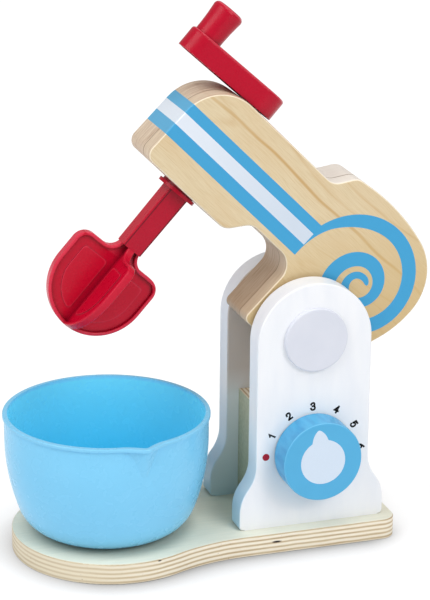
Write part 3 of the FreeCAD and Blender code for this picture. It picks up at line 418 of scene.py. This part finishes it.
def head_wood():
    """Pale pine, long grain, browner on its edges, printed stripes and spiral, and a painted edge
    highlight.
    """
    shader = Shader("head_wood")
    along, up, across = head_coordinates(shader)
    wood, fine = head_grain(shader, along, up, across)
    facing = shader.magnitude(shader.split(shader.normal())[1])
    edge = shader.range(facing, *EDGE_FACING, 1.0, 0.0)
    wood = shader.mix(shader.times(edge, 0.85), wood, head_edges(shader, along, up, across))
    # Painted highlight along the rounded edges of the wood
    painted_arris_highlight = shader.times(shader.range(facing, *PAINTED_HIGHLIGHT_RISES, 0.0, 1.0),
                         shader.range(facing, *PAINTED_HIGHLIGHT_FALLS, 1.0, 0.0))
    wood = shader.mix(shader.times(painted_arris_highlight, 0.55), wood, srgb(252, 243, 222))

    blue, pale = head_artwork(shader, along, up)
    paint_grain = shader.range(fine, 0.2, 0.8, 0.0, 0.10)
    blue_paint = shader.mix(paint_grain, srgb(54, 158, 208), srgb(80, 172, 216))
    # Painted sheen: the blue paler and greyer on the edges
    blue_paint = shader.mix(shader.times(edge, 0.5), blue_paint, srgb(114, 180, 213))
    pale_paint = shader.mix(paint_grain, srgb(206, 217, 230), srgb(218, 226, 236))
    towards_nose = shader.range(along, *NOSE_PAINT_ALONG, 0.0, 0.45)
    pale_paint = shader.mix(towards_nose, pale_paint, srgb(240, 244, 249))
    # Painted highlight along the rounded edges of the pale paint
    pale_paint = shader.mix(shader.times(painted_arris_highlight, 0.6), pale_paint, srgb(252, 253, 255))
    # A darker line drawn on the rounding of the pale paint
    dark_round_line = shader.between(facing, *DARK_ROUND_FACING)
    pale_paint = shader.mix(shader.times(dark_round_line, 0.45), pale_paint, srgb(118, 150, 178))
    colour = shader.mix(blue, wood, blue_paint)
    colour = shader.mix(pale, colour, pale_paint)
    painted = shader.math("MAXIMUM", blue, pale)
    height = shader.plus(shader.times(fine, 0.5), shader.times(painted, 0.25))
    return shader.principled(Base_Color=colour, Roughness=shader.range(fine, 0.2, 0.8, 0.48, 0.60),
                             Normal=shader.bump(height, 0.12 * MM, 0.35))


# Layers of the plywood, in millimetres: their pitch, where the first one lies and how far they wander
PLY_PITCH = 2.62
PLY_START = 1.3
PLY_WANDER = 0.9

# Dark marks on the edge of the base, in millimetres: place, half length and half height
EDGE_MARKS = (((-24.2, -42.0, 7.1), 3.0, 0.7), ((-97.0, -55.5, 11.2), 1.4, 0.5))

# Where the layers fade into one tone on the round end, in millimetres, and how far the painted shade in
# a crease reaches over the wood round it
BLENDED_SPAN = (-95.0, -135.0)
WOOD_SHADE_REACH = 14.0 * MM


def plywood(name, axis, start, top_colour, end_colour, marks=()):
    """Pale and tan plies across one axis with long streaks, seen on every edge; painted shade in
    creases.
    """
    shader = Shader(name)
    place = shader.to_mm(shader.place())
    depth = shader.split(place)[axis]
    if start:
        depth = shader.minus(depth, start / MM)
    stretch = [0.06, 0.06, 0.06]
    stretch[axis] = 1.4
    streak = shader.noise(shader.scaled(place, stretch), 1.0, 4.0, 0.6)
    wobble = shader.noise(shader.scaled(place, (0.05, 0.05, 0.05)), 1.0, 2.0)
    depth_here = shader.plus(depth, shader.times(shader.minus(wobble, 0.5), PLY_WANDER))
    phase = shader.times(shader.minus(depth_here, PLY_START), 2 * math.pi / PLY_PITCH)
    wave = shader.math("COSINE", phase)
    tone = shader.plus(wave, shader.times(shader.minus(streak, 0.5), 1.6))
    layers = shader.ramp(shader.range(tone, -1.2, 1.4, 0.0, 1.0),
                         [(0.0, srgb(248, 240, 222)), (0.42, srgb(240, 228, 204)),
                          (0.68, srgb(214, 194, 160)), (0.92, srgb(184, 158, 122))])
    for mark, half_length, half_height in marks:
        away = shader.scaled(shader.vector("SUBTRACT", place, mark),
                             (1 / half_length, 0.3, 1 / half_height))
        ragged = shader.plus(shader.vector("LENGTH", away), shader.times(streak, 0.8))
        layers = shader.mix(shader.range(ragged, 1.0, 1.5, 1.0, 0.0), layers, srgb(34, 22, 15))
    blended = shader.range(shader.split(place)[0], *BLENDED_SPAN, 0.0, 0.55)
    layers = shader.mix(blended, layers, srgb(222, 208, 178))
    speck = shader.noise(shader.scaled(place, (0.5, 0.5, 0.9)), 1.0, 2.0)
    layers = shader.mix(shader.range(speck, 0.70, 0.78, 0.0, 0.6), layers, srgb(140, 100, 66))
    face = shader.magnitude(shader.split(shader.normal())[axis])
    face = shader.range(face, 0.75, 0.97, 0.0, 1.0)
    grain = shader.noise(shader.scaled(place, (0.03, 0.5, 0.5)), 1.0, 4.0, 0.6)
    veneer = shader.mix(shader.range(grain, 0.3, 0.7, 0.0, 1.0), top_colour, end_colour)
    colour = shader.mix(face, layers, veneer)
    # Painted shade in creases and where parts meet
    painted_crease_shade = shader.range(shader.openness(WOOD_SHADE_REACH), 0.2, 0.7, 0.45, 0.0)
    colour = shader.mix(painted_crease_shade, colour, srgb(120, 118, 104))
    return shader.principled(Base_Color=colour, Roughness=shader.range(streak, 0.2, 0.8, 0.55, 0.68),
                             Normal=shader.bump(shader.plus(streak, grain), 0.12 * MM, 0.35))


# Paint on the panels, in millimetres: heights over which the painted blue reflection on their front
# edges and the painted shade on their inner faces change, how far from the middle (as a minus) a face
# that looks back to it gets that shade, and the painted shadow by the dial
FRONT_REFLECTION_HEIGHTS = (20.0, 80.0)
INNER_SHADE_HEIGHTS = (12.0, 110.0)
INNER_DEPTH = (-8.0, -4.0)
DIAL_SHADE_CENTRE = (-4.0, -33.0, 50.0)
DIAL_SHADE_REACH = (20.0, 31.0)


def painted_wood(name, colour, shade):
    """Satin paint over wood: brush waves; painted bowl reflection in front, inner shade and dial
    shadow.
    """
    shader = Shader(name)
    place = shader.to_mm(shader.place())
    waves = shader.noise(shader.scaled(place, (0.12, 0.12, 0.03)), 1.0, 3.0)
    orange_peel = shader.noise(place, 1.1, 2.0)
    paint = shader.mix(shader.range(waves, 0.3, 0.7, 0.0, 1.0), colour, shade)
    # Painted reflection of the blue bowl, low on the front edges
    forward = shader.times(shader.split(shader.normal())[0], -1.0)
    painted_bowl_reflection = shader.times(shader.range(forward, 0.5, 0.9, 0.0, 1.0),
                        shader.range(shader.split(place)[2], *FRONT_REFLECTION_HEIGHTS, 0.8, 0.0))
    paint = shader.mix(painted_bowl_reflection, paint, srgb(170, 212, 232))
    # Painted shade and reflected colour on the faces that look to the middle
    towards_middle = shader.times(shader.split(place)[1], shader.split(shader.normal())[1])
    inner = shader.range(towards_middle, *INNER_DEPTH, 0.85, 0.0)
    painted_inner_shade = shader.ramp(shader.range(shader.split(place)[2], *INNER_SHADE_HEIGHTS, 0.0, 1.0),
                            [(0.0, srgb(188, 216, 222)), (0.35, srgb(222, 232, 232)),
                             (0.62, srgb(234, 240, 240)), (0.8, srgb(212, 200, 188))])
    paint = shader.mix(inner, paint, painted_inner_shade)
    from_dial = shader.vector("LENGTH", shader.vector("SUBTRACT", place, DIAL_SHADE_CENTRE))
    dial_shade = shader.range(from_dial, *DIAL_SHADE_REACH, 0.55, 0.0)
    paint = shader.mix(dial_shade, paint, srgb(196, 216, 226))
    height = shader.plus(shader.times(waves, 2.0), orange_peel)
    return shader.principled(Base_Color=paint, Roughness=shader.range(waves, 0.2, 0.8, 0.34, 0.44),
                             Specular_IOR_Level=0.4, Normal=shader.bump(height, 0.05 * MM, 0.25))


def moulded_plastic(name, colour, deep, roughness):
    """Moulded plastic: slow colour drift, fine surface ripple and uneven gloss."""
    shader = Shader(name)
    place = shader.to_mm(shader.place())
    drift = shader.noise(place, 0.05, 2.0)
    ripple = shader.noise(place, 0.35, 3.0)
    plastic = shader.mix(shader.range(drift, 0.3, 0.7, 0.0, 1.0), colour, deep)
    gloss = shader.range(ripple, 0.25, 0.75, roughness - 0.05, roughness + 0.07)
    return shader.principled(Base_Color=plastic, Roughness=gloss, Specular_IOR_Level=0.5,
                             Normal=shader.bump(ripple, 0.06 * MM, 0.4))


# Bowl: how far its inner wall turns inwards and its floor upwards, how far below the rim the floor can
# lie at the highest, the rim's depth and fade, how the painted shade inside deepens, and the painted
# glow
INNER_WALL_TURN = -0.15
BOWL_FLOOR_FACING = 0.3
BOWL_FLOOR_DROP = 4.0 * MM
BOWL_RIM_DEPTH = 1.6 * MM
BOWL_RIM_FADE = 1.0 * MM
BOWL_SHADE_POWER = 1.4
BOWL_PAINTED_GLOW = 0.10


def bowl_plastic():
    """Sky blue plastic with painted shade inside, a painted glow in the thin wall, and paler on the
    rim.
    """
    shader = Shader("bowl_blue_plastic")
    place = shader.place()
    low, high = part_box("bowl")
    centre = ((low.x + high.x) / 2, 0.0, 0.0)
    from_axis = shader.vector("SUBTRACT", place, centre)
    outward = shader.vector("NORMALIZE", shader.scaled(from_axis, (1.0, 1.0, 0.0)))
    turned_out = shader.vector("DOT_PRODUCT", shader.normal(), outward)
    height = shader.split(place)[2]
    inner_wall = shader.math("LESS_THAN", turned_out, INNER_WALL_TURN)
    turned_up = shader.split(shader.normal())[2]
    inner_floor = shader.times(shader.math("GREATER_THAN", turned_up, BOWL_FLOOR_FACING),
                               shader.math("LESS_THAN", height, high.z - BOWL_FLOOR_DROP))
    inside = shader.math("MAXIMUM", inner_wall, inner_floor)
    rim = shader.above(height, high.z - BOWL_RIM_DEPTH, BOWL_RIM_FADE)
    in_mm = shader.to_mm(place)
    drift = shader.noise(in_mm, 0.04, 2.0)
    ripple = shader.noise(in_mm, 0.12, 2.0)
    outer = shader.mix(drift, srgb(124, 205, 244), srgb(132, 211, 249))
    # Painted shade inside: deeper and darker towards the floor
    depth = shader.range(height, low.z, high.z, 0.0, 1.0)
    depth = shader.math("POWER", depth, BOWL_SHADE_POWER)
    inner = shader.mix(depth, srgb(36, 182, 224), srgb(124, 228, 253))
    colour = shader.mix(inside, outer, inner)
    colour = shader.mix(shader.times(rim, 0.7), colour, srgb(132, 204, 240))
    # Painted glow on the inside, for light through the thin wall
    return shader.principled(Base_Color=colour, Roughness=shader.range(ripple, 0.25, 0.75, 0.25, 0.29),
                             Specular_IOR_Level=0.4, Emission_Color=colour,
                             Emission_Strength=shader.times(inside, BOWL_PAINTED_GLOW),
                             Normal=shader.bump(ripple, 0.05 * MM, 0.05))


# How squarely a point of the dial looks along its axis: less than the first on its side, and between
# the two spans on its rounded rim, where a highlight is painted
DIAL_SIDE_FACING = 0.3
DIAL_HIGHLIGHT_RISES = (0.35, 0.6)
DIAL_HIGHLIGHT_FALLS = (0.75, 0.97)


def dial_plastic():
    """Blue satin plastic with a painted highlight on its rim and painted streaky reflections round its
    side.
    """
    shader = Shader("dial_blue_plastic")
    from_axis = shader.vector("SUBTRACT", shader.place(), DIAL_CENTRE)
    in_mm = shader.to_mm(from_axis)
    across, depth, up = shader.split(in_mm)
    facing = shader.magnitude(shader.split(shader.normal())[1])
    turn = shader.math("ARCTAN2", across, up)
    streak_place = shader.join(shader.times(turn, 5.0), shader.times(depth, 0.05), 0.0)
    streak = shader.noise(streak_place, 1.0, 3.0)
    side = shader.math("LESS_THAN", facing, DIAL_SIDE_FACING)
    drift = shader.noise(in_mm, 0.06, 2.0)
    plastic = shader.mix(drift, srgb(78, 170, 216), srgb(84, 177, 222))
    # Painted reflections: darker streaks round the side
    painted_side_reflections = shader.times(side, shader.range(streak, 0.42, 0.66, 0.0, 0.7))
    plastic = shader.mix(painted_side_reflections, plastic, srgb(60, 146, 200))
    # Painted highlight on the rounded rim
    rim = shader.times(shader.range(facing, *DIAL_HIGHLIGHT_RISES, 0.0, 1.0),
                       shader.range(facing, *DIAL_HIGHLIGHT_FALLS, 1.0, 0.0))
    plastic = shader.mix(shader.times(rim, 0.3), plastic, srgb(150, 214, 244))
    return shader.principled(Base_Color=plastic, Roughness=shader.range(drift, 0.3, 0.7, 0.32, 0.42),
                             Specular_IOR_Level=0.4, Normal=shader.bump(drift, 0.05 * MM, 0.2))


def red_plastic():
    """Crimson plastic with painted shade in creases; painted highlight lines follow the blades' raised
    fields.
    """
    shader = Shader("red_plastic")
    place = shader.to_mm(shader.place())
    drift = shader.noise(place, 0.05, 2.0)
    ripple = shader.noise(place, 0.25, 2.0)
    mottle = shader.noise(place, 0.45, 4.0, 0.65)
    from_chin = shader.to_mm(shader.vector("SUBTRACT", shader.place(), DRIVE_POINT))
    height = shader.vector("DOT_PRODUCT", from_chin, DRIVE_AXIS)
    along_head = shader.vector("DOT_PRODUCT", from_chin, DRIVE_AXIS.cross(Vector((0, 1, 0))))
    across_head = shader.split(from_chin)[1]
    outward = shader.math("MAXIMUM", shader.magnitude(along_head), shader.magnitude(across_head))

    below = shader.math("MINIMUM", shader.plus(height, FIELD_CENTRE), 0.0)
    from_centre = shader.vector("LENGTH", shader.join(outward, below, 0.0))
    round_side = shader.minus(from_centre, FIELD_RADIUS)
    top_side = shader.plus(height, FIELD_TOP)
    inner_side = shader.minus(FIELD_INNER, outward)
    outline = shader.math("SMOOTH_MAX", round_side, top_side, FIELD_CORNER)
    outline = shader.math("SMOOTH_MAX", outline, inner_side, FIELD_CORNER)
    # Painted highlight lines along the raised fields
    line = shader.range(shader.magnitude(outline), *FIELD_HIGHLIGHT_FADE, 0.5, 0.0)

    facing = shader.magnitude(shader.split(shader.normal())[1])
    on_shaft = shader.times(shader.between(height, -SHAFT_END, -SHAFT_START),
                            shader.math("LESS_THAN", outward, SHAFT_HALF_WIDTH))
    shaded_shaft_face = shader.times(on_shaft, shader.math("GREATER_THAN", facing, SHAFT_FACING))
    # A dark line drawn along each flat face of the shaft
    dark_shaft_line = shader.magnitude(shader.minus(shader.magnitude(along_head), DARK_SHAFT_LINE_PLACE))
    dark_shaft_line = shader.times(shaded_shaft_face, shader.range(dark_shaft_line, *DARK_SHAFT_LINE_FADE, 0.85, 0.0))

    # Painted light on the outer rims of the blades
    rim = shader.math("MAXIMUM", shader.minus(from_centre, RIM_INNER_RADIUS),
                      shader.plus(height, RIM_INNER_TOP))
    rim = shader.times(shader.range(rim, -0.1, 0.1, 0.0, 1.0),
                       shader.math("LESS_THAN", height, -SHAFT_END))
    rim = shader.times(rim, shader.range(shader.magnitude(along_head), *RIM_LIGHT_SPAN, 0.1, 0.6))

    crank = shader.mix(drift, srgb(186, 5, 42), srgb(176, 3, 36))
    # The blades' red is lighter than the crank's: painted light that evens out the shade under the head
    brightened_blade_red = shader.mix(drift, srgb(200, 7, 46), srgb(188, 5, 40))
    plastic = shader.mix(shader.above(height, 0.0), brightened_blade_red, crank)
    plastic = shader.mix(rim, plastic, srgb(224, 60, 84))
    # Painted shade on the shaft's flat faces
    plastic = shader.mix(shader.times(shaded_shaft_face, 0.4), plastic, srgb(150, 10, 38))
    plastic = shader.mix(line, plastic, srgb(228, 66, 90))
    plastic = shader.mix(shader.range(mottle, 0.5, 0.75, 0.0, 0.16), plastic, srgb(140, 4, 34))
    plastic = shader.mix(dark_shaft_line, plastic, srgb(84, 2, 20))
    tilted = shader.vector("DOT_PRODUCT", shader.normal(), DRIVE_AXIS)
    glint = shader.times(shader.range(tilted, *GLINT_RISES, 0.0, 0.4),
                         shader.range(tilted, *GLINT_FALLS, 1.0, 0.0))
    glint = shader.times(glint, shader.above(height, 0.0))
    plastic = shader.mix(glint, plastic, srgb(236, 110, 124))
    # Painted shade in creases
    painted_crease_shade = shader.range(shader.openness(CREASE_SHADE_REACH), 0.3, 0.9, 0.6, 0.0)
    plastic = shader.mix(painted_crease_shade, plastic, srgb(96, 0, 22))
    return shader.principled(Base_Color=plastic, Roughness=shader.range(ripple, 0.25, 0.75, 0.24, 0.34),
                             Specular_IOR_Level=0.22, Normal=shader.bump(ripple, 0.05 * MM, 0.2))


def metal(name, colour, roughness):
    """Turned or plated metal with fine scratches across y."""
    shader = Shader(name)
    place = shader.to_mm(shader.place())
    scratch = shader.noise(shader.scaled(place, (0.6, 6.0, 0.6)), 1.0, 3.0)
    tone = shader.mix(shader.range(scratch, 0.3, 0.7, 0.0, 0.35), colour, srgb(120, 120, 124))
    gloss = shader.range(scratch, 0.2, 0.8, roughness - 0.08, roughness + 0.1)
    return shader.principled(Base_Color=tone, Metallic=1.0, Roughness=gloss,
                             Normal=shader.bump(scratch, 0.02 * MM, 0.4))


def soft_matter(name, colour, dark, scale):
    """Rubber or felt: matt, with a fine random tooth."""
    shader = Shader(name)
    place = shader.to_mm(shader.place())
    tooth = shader.noise(place, scale, 4.0, 0.7)
    return shader.principled(Base_Color=shader.mix(tooth, dark, colour), Roughness=0.9,
                             Specular_IOR_Level=0.2, Normal=shader.bump(tooth, 0.1 * MM, 0.6))


MATERIALS = {
    "base_plywood": plywood("base_plywood", 2, 0.0, srgb(246, 242, 222), srgb(236, 235, 216),
                            EDGE_MARKS),
    # The brace's veneer colours are the base's plywood with painted shade and a painted blue bounce
    # from the bowl
    "bare_plywood": plywood("bare_plywood", 0, BRACE_FRONT_X, srgb(200, 200, 172), srgb(180, 182, 152)),
    "white_painted_wood": painted_wood("white_painted_wood", srgb(245, 246, 248), srgb(239, 241, 245)),
    "head_wood": head_wood(),
    "red_plastic": red_plastic(),
    "dial_blue_plastic": dial_plastic(),
    "bowl_blue_plastic": bowl_plastic(),
    "pale_grey_plastic": moulded_plastic("pale_grey_plastic", srgb(222, 224, 233), srgb(216, 219, 229),
                                         0.45),
    "zinc_steel": metal("zinc_steel", srgb(214, 216, 218), 0.34),
    # Dark steel: painted shade, so the spindle between flange and chin reads as a shadowed gap
    "spindle_steel": metal("spindle_steel", srgb(96, 94, 94), 0.42),
    "sleeve_aluminium": metal("sleeve_aluminium", srgb(220, 222, 226), 0.36),
    "bushing_nylon": moulded_plastic("bushing_nylon", srgb(232, 230, 222), srgb(226, 224, 214), 0.5),
    "black_rubber": soft_matter("black_rubber", srgb(46, 46, 48), srgb(30, 30, 32), 2.0),
    "grey_felt": soft_matter("grey_felt", srgb(112, 112, 118), srgb(84, 84, 90), 4.0),
}


def dress_frame():
    """Gives each CAD node the material of its slot."""
    for part in frame["record"]["subparts"]:
        mesh = frame["nodes"][part["node"]].data
        mesh.materials.clear()
        mesh.materials.append(MATERIALS[part["material_slot"]])


def new_piece(name, vertices, faces, material, body):
    """Mesh object in the row frame that rides on a body."""
    mesh = bpy.data.meshes.new(name)
    mesh.from_pydata(vertices, [], faces)
    mesh.validate()
    mesh.materials.append(material)
    piece = bpy.data.objects.new(name, mesh)
    bpy.context.scene.collection.objects.link(piece)
    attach(piece, body)


def ink(name, colour):
    """Printed ink: nearly flat, a little uneven at the scale of the print."""
    shader = Shader(name)
    place = shader.to_mm(shader.place())
    speck = shader.noise(place, 3.0, 2.0)
    tone = shader.mix(shader.range(speck, 0.3, 0.7, 0.0, 0.05), colour, srgb(128, 128, 132))
    return shader.principled(Base_Color=tone, Roughness=0.5, Specular_IOR_Level=0.2)


# Print round the dial
PRINT_RIGHT = 0.4 * MM
PRINT_BELOW = 1.2 * MM
DIGIT_RADIUS = 28.4 * MM
DIGIT_HEIGHT = 3.6 * MM
DIGIT_WIDTH = 2.4 * MM
DIGIT_STROKE = 1.1 * MM
DIGIT_STEP = math.radians(30.0)
LAST_DIGIT = 6
LAST_DIGIT_TURN = math.radians(88.0)
DOT_TURN = math.radians(-88.0)
DOT_RADIUS = 2.1 * MM
DOT_SIDES = 32
PRINT_THICKNESS = 0.03 * MM

# Corners of a curved stroke are cut this often, each time by this share of its sides
CORNER_CUTS = 3
CUT_SHARE = 0.25

# Strokes of the numbers in a box of width 1 and height 1; True marks a curved stroke
DIGITS = {
    1: [(False, [(0.22, 0.76), (0.58, 1.0), (0.58, 0.0)])],
    2: [(True, [(0.06, 0.74), (0.12, 1.02), (0.5, 1.05), (0.94, 1.0), (0.9, 0.62), (0.62, 0.42),
                (0.06, 0.0)]),
        (False, [(0.06, 0.0), (0.94, 0.0)])],
    3: [(True, [(0.08, 0.86), (0.25, 1.05), (0.85, 1.08), (0.92, 0.68), (0.72, 0.54), (0.42, 0.54)]),
        (True, [(0.42, 0.54), (0.85, 0.54), (1.02, 0.3), (0.9, -0.06), (0.2, -0.08), (0.02, 0.16)])],
    4: [(False, [(0.70, -0.05), (0.70, 1.0)]), (False, [(0.70, 1.0), (0.04, 0.28), (1.02, 0.28)])],
    5: [(False, [(0.88, 1.0), (0.2, 1.0), (0.14, 0.5)]),
        (True, [(0.14, 0.5), (0.5, 0.7), (0.98, 0.6), (1.0, 0.1), (0.6, -0.08), (0.2, -0.06),
                (0.02, 0.14)])],
    6: [(True, [(0.72, 1.04), (0.4, 0.82), (0.04, 0.5), (0.02, 0.1), (0.25, -0.06), (0.75, -0.06),
                (1.0, 0.15), (0.95, 0.58), (0.5, 0.68), (0.2, 0.56), (0.06, 0.3)])],
}


def dial_side_frame(angle):
    """Centre, right and up of a mark on the near panel; the angle runs clockwise from the top."""
    up = Vector((math.sin(angle), 0.0, math.cos(angle)))
    right = Vector((math.cos(angle), 0.0, -math.sin(angle)))
    middle = Vector((DIAL_CENTRE.x + PRINT_RIGHT, PANEL_FACE_Y, DIAL_CENTRE.z - PRINT_BELOW))
    centre = middle + up * DIGIT_RADIUS
    return centre, right, up


def smoothed(points):
    """Polyline with its corners cut until it reads as a curve; the ends stay."""
    keep = 1 - CUT_SHARE
    for _ in range(CORNER_CUTS):
        finer = [points[0]]
        for (x0, y0), (x1, y1) in zip(points, points[1:]):
            finer.append((keep * x0 + CUT_SHARE * x1, keep * y0 + CUT_SHARE * y1))
            finer.append((CUT_SHARE * x0 + keep * x1, CUT_SHARE * y0 + keep * y1))
        points = finer + [points[-1]]
    return points


def stroke_sides(points):
    """Left and right outline of a digit's stroke, with its ends drawn out by half its width."""
    path = [Vector((x * DIGIT_WIDTH, y * DIGIT_HEIGHT)) for x, y in points]
    half = DIGIT_STROKE / 2
    path[0] += (path[0] - path[1]).normalized() * half
    path[-1] += (path[-1] - path[-2]).normalized() * half
    left = []
    right = []
    for index, point in enumerate(path):
        before = (point - path[index - 1]).normalized() if index else (path[1] - point).normalized()
        after = (path[index + 1] - point).normalized() if index + 1 < len(path) else before
        ahead = (before + after).normalized()
        aside = Vector((-ahead.y, ahead.x)) * half / max(ahead.dot(after), 0.5)
        left.append(point + aside)
        right.append(point - aside)
    return left, right


def dial_numbers():
    """The numbers 1 to 6, each turned so that it stands away from the dial."""
    black = ink("number_ink", srgb(8, 8, 10))
    for number, strokes in DIGITS.items():
        angle = LAST_DIGIT_TURN - DIGIT_STEP * (LAST_DIGIT - number)
        centre, right_way, up_way = dial_side_frame(angle)
        vertices = []
        faces = []
        for curved, points in strokes:
            left, right = stroke_sides(smoothed(points) if curved else points)
            for first in range(len(left) - 1):
                second = first + 1
                start = len(vertices)
                for flat in (left[first], right[first], right[second], left[second]):
                    for lift in (0.0, PRINT_THICKNESS):
                        vertices.append(centre + right_way * (flat.x - DIGIT_WIDTH / 2)
                                        + up_way * (flat.y - DIGIT_HEIGHT / 2) + Vector((0, -lift, 0)))
                faces.append([start + corner for corner in (1, 3, 5, 7)])
                for corner in range(4):
                    following = (corner + 1) % 4
                    faces.append([start + 2 * corner, start + 2 * following,
                                  start + 2 * following + 1, start + 2 * corner + 1])
        new_piece("dial_number_%d" % number, vertices, faces, black, "stand")


def printed_shape(name, points, front_y, material, body):
    """Flat print with a closed outline of (x, z) points, just proud of a face that looks to -Y."""
    count = len(points)
    back = [Vector((x, front_y, z)) for x, z in points]
    front = [point + Vector((0, -PRINT_THICKNESS, 0)) for point in back]
    faces = [tuple(range(count, 2 * count))]
    for index in range(count):
        following = (index + 1) % count
        faces.append((index, following, count + following, count + index))
    new_piece(name, back + front, faces, material, body)


def zero_mark():
    """Red dot at the dial's lowest setting."""
    centre = dial_side_frame(DOT_TURN)[0]
    points = []
    for step in range(DOT_SIDES):
        angle = 2 * math.pi * step / DOT_SIDES
        points.append((centre.x + DOT_RADIUS * math.cos(angle),
                       centre.z + DOT_RADIUS * math.sin(angle)))
    red_ink = ink("dot_ink", srgb(164, 20, 44))
    printed_shape("zero_dot", points, PANEL_FACE_Y, red_ink, "stand")


# Pale print on the dial's face
POINTER_RADIUS = 13.1 * MM
POINTER_PEAK = 19.4 * MM
POINTER_TURN = math.radians(-8.5)
POINTER_HALF_ANGLE = math.radians(21.0)
POINTER_SLOPE = 1.3
POINTER_SIDES = 180


def dial_pointer():
    """Disc with one rounded peak that points at the setting."""
    points = []
    for step in range(POINTER_SIDES):
        angle = 2 * math.pi * step / POINTER_SIDES
        away = math.remainder(angle - POINTER_TURN, 2 * math.pi)
        share = abs(away) / POINTER_HALF_ANGLE
        radius = POINTER_RADIUS
        if share < 1:
            radius += (POINTER_PEAK - POINTER_RADIUS) * (1 - share ** POINTER_SLOPE)
        points.append((DIAL_CENTRE.x + radius * math.sin(angle),
                       DIAL_CENTRE.z + radius * math.cos(angle)))
    points.reverse()
    pale_ink = ink("pointer_ink", srgb(214, 228, 243))
    printed_shape("dial_pointer", points, DIAL_FACE_Y, pale_ink, "dial")


# Floor, in metres where it is a length: what it reflects, what the camera sees, and the painted contact
# shadow where the base stands on it, which fades towards the two ends of the base
FLOOR_HALF_SIZE = 6.0
FLOOR_PALE = srgb(236, 237, 240)
FLOOR_SHOWN = (0.32, 0.32, 0.325, 1.0)
FLOOR_GLOW_NEAR = 0.79
FLOOR_GLOW_FAR = 0.86
CONTACT_REACH = 30.0 * MM
CONTACT_DEPTH = 1.35
GLOW_SPAN = (0.15, 1.2)
CONTACT_LEFT_END = (-0.19, -0.13)
CONTACT_RIGHT_END = (0.03, 0.06)
CONTACT_AT_ENDS = 0.4


def floor():
    """Pale plain floor that shows white to the camera, keeps the shadow and has a painted contact
    shadow.
    """
    half = FLOOR_HALF_SIZE
    corners = [(-half, -half, 0), (half, -half, 0), (half, half, 0), (-half, half, 0)]
    mesh = bpy.data.meshes.new("floor")
    mesh.from_pydata(corners, [], [(0, 1, 2, 3)])
    ground = bpy.data.objects.new("floor", mesh)
    bpy.context.scene.collection.objects.link(ground)
    shader = Shader("floor")
    path = shader.node("ShaderNodeLightPath")
    seen = shader.math("MAXIMUM", path.outputs["Is Camera Ray"], path.outputs["Is Glossy Ray"])
    # Painted contact shadow round the base, from how open the floor is
    painted_contact_shadow = shader.math("POWER", shader.openness(CONTACT_REACH), CONTACT_DEPTH)
    along_x = shader.split(shader.place())[0]
    share = shader.times(shader.range(along_x, *CONTACT_LEFT_END, CONTACT_AT_ENDS, 1.0),
                         shader.range(along_x, *CONTACT_RIGHT_END, 1.0, CONTACT_AT_ENDS))
    painted_contact_shadow = shader.minus(1.0, shader.times(shader.minus(1.0, painted_contact_shadow), share))
    shown = shader.mix(painted_contact_shadow, (0.0, 0.0, 0.0, 1.0), FLOOR_SHOWN)
    diffuse = shader.node("ShaderNodeBsdfDiffuse", {"Color": shader.mix(seen, FLOOR_PALE, shown)})
    away = shader.vector("LENGTH", shader.place())
    glow = shader.times(painted_contact_shadow, shader.range(away, *GLOW_SPAN, FLOOR_GLOW_NEAR, FLOOR_GLOW_FAR))
    light = shader.node("ShaderNodeEmission",
                        {"Color": (1, 1, 1, 1), "Strength": shader.times(seen, glow)})
    both = shader.node("ShaderNodeAddShader", {0: diffuse.outputs[0], 1: light.outputs[0]})
    shader.tree.links.new(both.outputs[0], shader.output.inputs["Surface"])
    mesh.materials.append(shader.material)


# Light: the even surroundings, then each softbox as name, place, size and power; all look at one point
WORLD_STRENGTH = 0.44
LIT_POINT = (-0.05, 0, 0.13)
SOFTBOXES = (
    ("key", (0.75, -1.5, 1.35), 1.0, 15.5),
    ("left_top", (-1.2, -0.3, 1.6), 1.2, 14.0),
    ("left", (-1.6, -0.9, 0.8), 1.2, 4.0),
    ("top", (0.2, -0.45, 1.7), 0.4, 3.5),
)


def world():
    """Even pale surroundings."""
    surroundings = bpy.data.worlds.new("studio")
    surroundings.use_nodes = True
    background = surroundings.node_tree.nodes["Background"]
    background.inputs["Color"].default_value = (1.0, 1.0, 1.0, 1.0)
    background.inputs["Strength"].default_value = WORLD_STRENGTH
    bpy.context.scene.world = surroundings


def softbox(name, place, size, power):
    """Square white area light that looks at the lit point."""
    light = bpy.data.lights.new(name, "AREA")
    light.shape = "SQUARE"
    light.size = size
    light.energy = power
    lamp = bpy.data.objects.new(name, light)
    lamp.location = place
    ahead = Vector(LIT_POINT) - Vector(place)
    lamp.rotation_euler = ahead.to_track_quat("-Z", "Y").to_euler()
    bpy.context.scene.collection.objects.link(lamp)


def camera():
    """The photograph's viewpoint."""
    ahead = Vector((math.sin(CAMERA_TURN) * math.cos(CAMERA_PITCH),
                    math.cos(CAMERA_TURN) * math.cos(CAMERA_PITCH), -math.sin(CAMERA_PITCH)))
    level_right = Vector((math.cos(CAMERA_TURN), -math.sin(CAMERA_TURN), 0))
    level_up = level_right.cross(ahead)
    right = level_right * math.cos(CAMERA_ROLL) + level_up * math.sin(CAMERA_ROLL)
    up = level_up * math.cos(CAMERA_ROLL) - level_right * math.sin(CAMERA_ROLL)
    data = bpy.data.cameras.new("camera")
    data.sensor_fit = "VERTICAL"
    data.sensor_height = SENSOR_HEIGHT
    data.lens = FOCAL_PIXELS * SENSOR_HEIGHT / IMAGE_HEIGHT
    data.clip_end = CAMERA_REACH
    viewer = bpy.data.objects.new("camera", data)
    turn = Matrix((right, up, -ahead)).transposed().to_4x4()
    viewer.matrix_world = Matrix.Translation(LOOK_AT - ahead * CAMERA_DISTANCE) @ turn
    bpy.context.scene.collection.objects.link(viewer)
    bpy.context.scene.camera = viewer


dress_frame()
dial_numbers()
zero_mark()
dial_pointer()
floor()
world()
for box_name, box_place, box_size, box_power in SOFTBOXES:
    softbox(box_name, box_place, box_size, box_power)
camera()
bpy.context.scene.view_settings.view_transform = "Standard"
